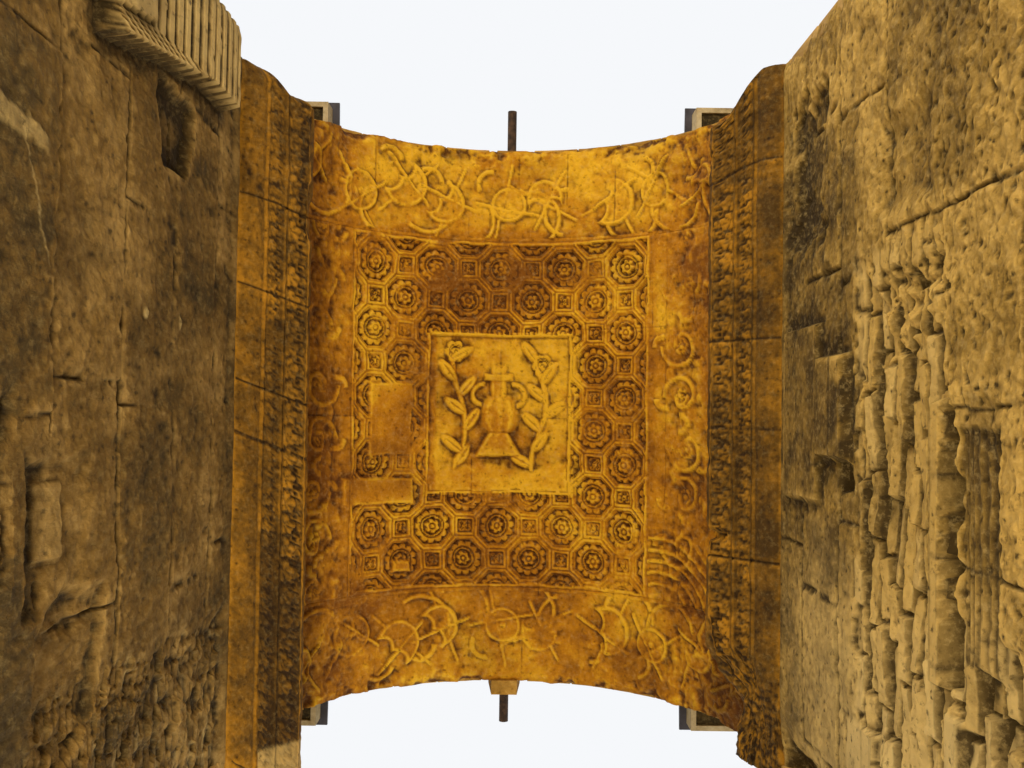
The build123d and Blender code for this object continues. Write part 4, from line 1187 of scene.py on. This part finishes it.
# Capitals
# Half capitals with two rows of curled leaves round a bell, and scrolls under the corners
# of a hollowed abacus. Weather has blunted the leaves.
capital_stone = stone_material("blunted_leaf_carving", ("#86683A", "#AB8B54", "#CDB27E"), "#4A381A",
                               patch_mm=300, grain_mm=20, bump_mm=5)
capital_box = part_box("front_left_capitals")
capital_bottom, capital_top = capital_box[0][2], capital_box[1][2]
bell_radius, bell_top_radius, neck_radius, neck_tall = 0.385, 0.41, 0.415, 0.06
abacus_half, abacus_tall, abacus_step = 0.48, 0.13, 0.06
scroll_reach, scroll_drop = 0.375, 0.09
scroll_steps = ((0.095, 0.075), (0.055, 0.10), (0.022, 0.12))
column_places = (2.65, 5.20)


def carved_leaf(shape, angle, low, tall, wide, curl):
    """One leaf on the bell: a lobed sheet that stands off and curls over at its tip."""
    made = bmesh.ops.create_grid(shape, x_segments=6, y_segments=8, size=0.5)["verts"]
    faces = {f for v in made for f in v.link_faces}
    for v in made:
        across, up = v.co.x * 2, v.co.y + 0.5
        lobes = 0.80 + 0.20 * abs(math.cos(up * 9.5))
        taper = (1.0 - 0.55 * up ** 3) * lobes
        turn = angle + across * wide / 2 * taper / bell_radius
        off = 0.012 + curl * up ** 4 + 0.018 * (1 - abs(across)) + 0.03 * up
        z = low + tall * (up - 0.16 * max(0.0, up - 0.8) / 0.2)
        v.co = ((bell_radius + off) * math.cos(turn), (bell_radius + off) * math.sin(turn), z)
    bmesh.ops.recalc_face_normals(shape, faces=list(faces))
    bmesh.ops.solidify(shape, geom=list(faces), thickness=0.022)


def drum(shape, middle, tall, first, last, segments, turn=Matrix()):
    """Adds a round drum with a low and a high radius to a shape."""
    bmesh.ops.create_cone(shape, cap_ends=True, segments=segments, radius1=first, radius2=last, depth=tall,
                          matrix=Matrix.Translation(middle) @ turn)


def capital():
    """One half capital round the origin, with the wall along the X axis."""
    shape = bmesh.new()
    neck, bell_top = capital_bottom + neck_tall, capital_top - abacus_tall
    drum(shape, (0, 0, (capital_bottom + neck) / 2), neck - capital_bottom, neck_radius, neck_radius, 28)
    drum(shape, (0, 0, (neck + bell_top) / 2), bell_top - neck, bell_radius, bell_top_radius, 28)
    round_edges(shape, [e for e in shape.edges if abs(e.verts[0].co.z - e.verts[1].co.z) < 1e-4], 0.012)
    for number in range(5):
        carved_leaf(shape, math.pi * (1.1 + 0.2 * number), neck, 0.36, 0.26, 0.055)
    for number in range(4):
        carved_leaf(shape, math.pi * (1.2 + 0.2 * number), neck + 0.10, 0.52, 0.25, 0.065)
    for sign in (-1, 1):
        place = Vector((sign * scroll_reach, -scroll_reach, bell_top - scroll_drop))
        turn = Matrix.Rotation(math.radians(45 * sign), 4, "Z") @ Matrix.Rotation(math.pi / 2, 4, "Y")
        for radius, wide in scroll_steps:
            drum(shape, place, wide, radius, radius, 18, turn)
    before = len(shape.verts)
    slab = block(shape, (0, -abacus_half / 2, capital_top - abacus_tall / 2),
                 (2 * abacus_half, abacus_half, abacus_tall))
    cut = {e for v in slab for e in v.link_edges}
    bmesh.ops.subdivide_edges(shape, edges=list(cut), cuts=7, use_grid_fill=True)
    shape.verts.ensure_lookup_table()
    hollow, low_share = 0.14, 0.991
    for v in shape.verts[before:]:
        x, y = v.co.x / abacus_half, v.co.y / abacus_half
        share = low_share if v.co.z < capital_top - abacus_step else 1.0
        v.co.x *= (1 - hollow * (1 - min(1, y * y))) * share
        v.co.y *= (1 - hollow * (1 - min(1, x * x))) * share
    for v in shape.verts:
        v.co += noise.noise_vector(v.co * 9) * 0.006
        v.co.y = max(-abacus_half, v.co.y)
        v.co.x = max(-abacus_half, min(abacus_half, v.co.x))
        v.co.z = min(capital_top, v.co.z)
    return shape


one = capital()
for side, outward, hand, sign in quarters:
    pair = bmesh.new()
    for x in column_places:
        made = bpy.data.meshes.new("one_capital")
        one.to_mesh(made)
        turned = Matrix.Rotation(math.pi if outward > 0 else 0, 4, "Z")
        made.transform(Matrix.Translation((sign * x, outward * face_line, 0)) @ turned)
        pair.from_mesh(made)
        bpy.data.meshes.remove(made)
    piece(f"{side}_{hand}_leaf_capitals", pair, capital_stone, "carved_stone", f"{side}_{hand}_capitals")
one.free()

# Roof
# Stone flags in rows, falling from both ends to a gutter across the middle.
roof_stone = stone_material("lichened_limestone_flags", ("#6F6858", "#918977", "#B3AB97"), "#4A4434",
                            patch_mm=700, grain_mm=24, bump_mm=6)
roof_low, roof_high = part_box("roof")
gutter_half, roof_drop = 0.11, 0.11
bedding, flag_gap, flag_edge, lowered = 0.07, 0.012, 0.010, 0.004
rows, columns = 6, 6
wide, deep = (roof_high[0] - gutter_half) / columns, (roof_high[1] - roof_low[1]) / rows
flags = bmesh.new()
block(flags, (0, 0, roof_low[2] + bedding / 2),
      (roof_high[0] - roof_low[0], roof_high[1] - roof_low[1], bedding))
for sign in (-1, 1):
    for row in range(rows):
        for column in range(columns):
            place = (sign * (gutter_half + (column + 0.5) * wide), roof_low[1] + (row + 0.5) * deep, 0)
            block(flags, place, (wide - flag_gap, deep - flag_gap, 0.16))
for v in flags.verts:
    if abs(v.co.z) < 1:
        top = roof_high[2] - roof_drop * (1 - abs(v.co.x) / roof_high[0])
        v.co.z = top - lowered if v.co.z > 0 else roof_low[2] + 0.05
round_edges(flags, flags.edges[:], flag_edge)
for v in flags.verts:
    lift = noise.noise(v.co * 1.3) * 0.008 if roof_low[2] + 0.08 < v.co.z else 0
    v.co.z = min(roof_high[2], v.co.z + lift - lowered)
piece("roof_flags", flags, roof_stone, "pale_stone", "roof")

# Plain stonework
# The rest is plain dressed stone: column shafts and bases, the blocks over the columns,
# the architrave, the cornice and the masonry behind the facings.
column_stone = stone_material("pale_gold_limestone_columns", ("#8C6E3C", "#B39359", "#D2B984"), "#4E3C1C",
                              patch_mm=800, grain_mm=26, bump_mm=5, streaks=0.4)
block_stone = stone_material("renewed_pale_limestone", ("#8D7A55", "#B7A47C", "#D3C4A0"), "#55452A",
                             patch_mm=500, grain_mm=20, bump_mm=3)
cornice_stone = stone_material("stained_cornice_limestone", ("#6C5A3A", "#93805A", "#B7A47C"), "#3C3020",
                               patch_mm=900, grain_mm=26, bump_mm=6, streaks=0.5)
plain_stone = {
    "upper_masonry": mortar, "keystone": ring_stone, "podium": podium_stone, "bases": column_stone,
    "shafts": column_stone, "ressaut": block_stone, "architrave": block_stone, "cornice": cornice_stone,
}

# Underside of the blocks
# The sunk soffits over the columns, lined with near-black stone: painted shade on undersides that face down.
soffit_shade_stone = stone_material("painted_shade_soffit_limestone", ("#1E180C", "#2E2512", "#4A3B1C"), "#120E06",
                             patch_mm=300, grain_mm=18, bump_mm=6)
border, sinking, lining_thick, lining_drop = 0.052, 0.045, 0.012, 0.004
for side, outward, hand, sign in quarters:
    low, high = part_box(f"{side}_{hand}_ressaut")
    wide, reach = high[0] - low[0] - 2 * border, high[1] - low[1] - border
    lining = bmesh.new()
    place = ((low[0] + high[0]) / 2, outward * (face_line + reach / 2), low[2] + sinking - lining_drop)
    block(lining, place, (wide, reach, lining_thick))
    cuts = {e for e in lining.edges if abs(e.verts[0].co.x - e.verts[1].co.x) > 0.5}
    bmesh.ops.subdivide_edges(lining, edges=list(cuts), cuts=40)
    for v in lining.verts:
        v.co.z += noise.noise(v.co * 7) * 0.003
    piece(f"{side}_{hand}_painted_shade_soffit", lining, soffit_shade_stone, "pale_stone", smooth=False)

# Lead and iron
# Lead sheets cap the blocks, coloured darker than grey lead as painted shade, and a rusted cast-iron spout
# drains each side of the roof.
def metal_material(name, dull, bright, roughness, metallic, patch_mm):
    """Weathered metal: two tones in patches over a slightly uneven surface."""
    made = bpy.data.materials.new(name)
    made.use_nodes = True
    tree = made.node_tree
    tree.nodes.clear()
    place = add_node(tree, "ShaderNodeTexCoord").outputs["Object"]
    patches = add_node(tree, "ShaderNodeTexNoise", None, {"Vector": place},
                       Scale=1000 / patch_mm, Detail=5.0)
    tones = add_node(tree, "ShaderNodeValToRGB", None, {"Fac": patches.outputs["Fac"]})
    stops = tones.color_ramp.elements
    stops[0].position, stops[0].color = 0.35, linear(dull)
    stops[1].position, stops[1].color = 0.70, linear(bright)
    bump = add_node(tree, "ShaderNodeBump", None, {"Height": patches.outputs["Fac"]},
                    Distance=0.004, Strength=0.6)
    shader = add_node(tree, "ShaderNodeBsdfPrincipled", None,
                      {"Base Color": tones.outputs["Color"], "Normal": bump.outputs[0]},
                      Roughness=roughness, Metallic=metallic)
    add_node(tree, "ShaderNodeOutputMaterial", None, {"Surface": shader.outputs[0]})
    return made


# Near-black lead: painted shade over the grey of weathered lead.
shade_darkened_lead = metal_material("shade_darkened_lead_sheet", "#2A272C", "#47444B", 0.6, 0.3, 120)
iron = metal_material("rusted_cast_iron", "#2E2218", "#5E4630", 0.75, 0.4, 60)
metals = {"flashing": shade_darkened_lead, "spout": iron}
for name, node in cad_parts.items():
    for ending, material in {**plain_stone, **metals}.items():
        if name.endswith(ending):
            node.data.materials.clear()
            node.data.materials.append(material)
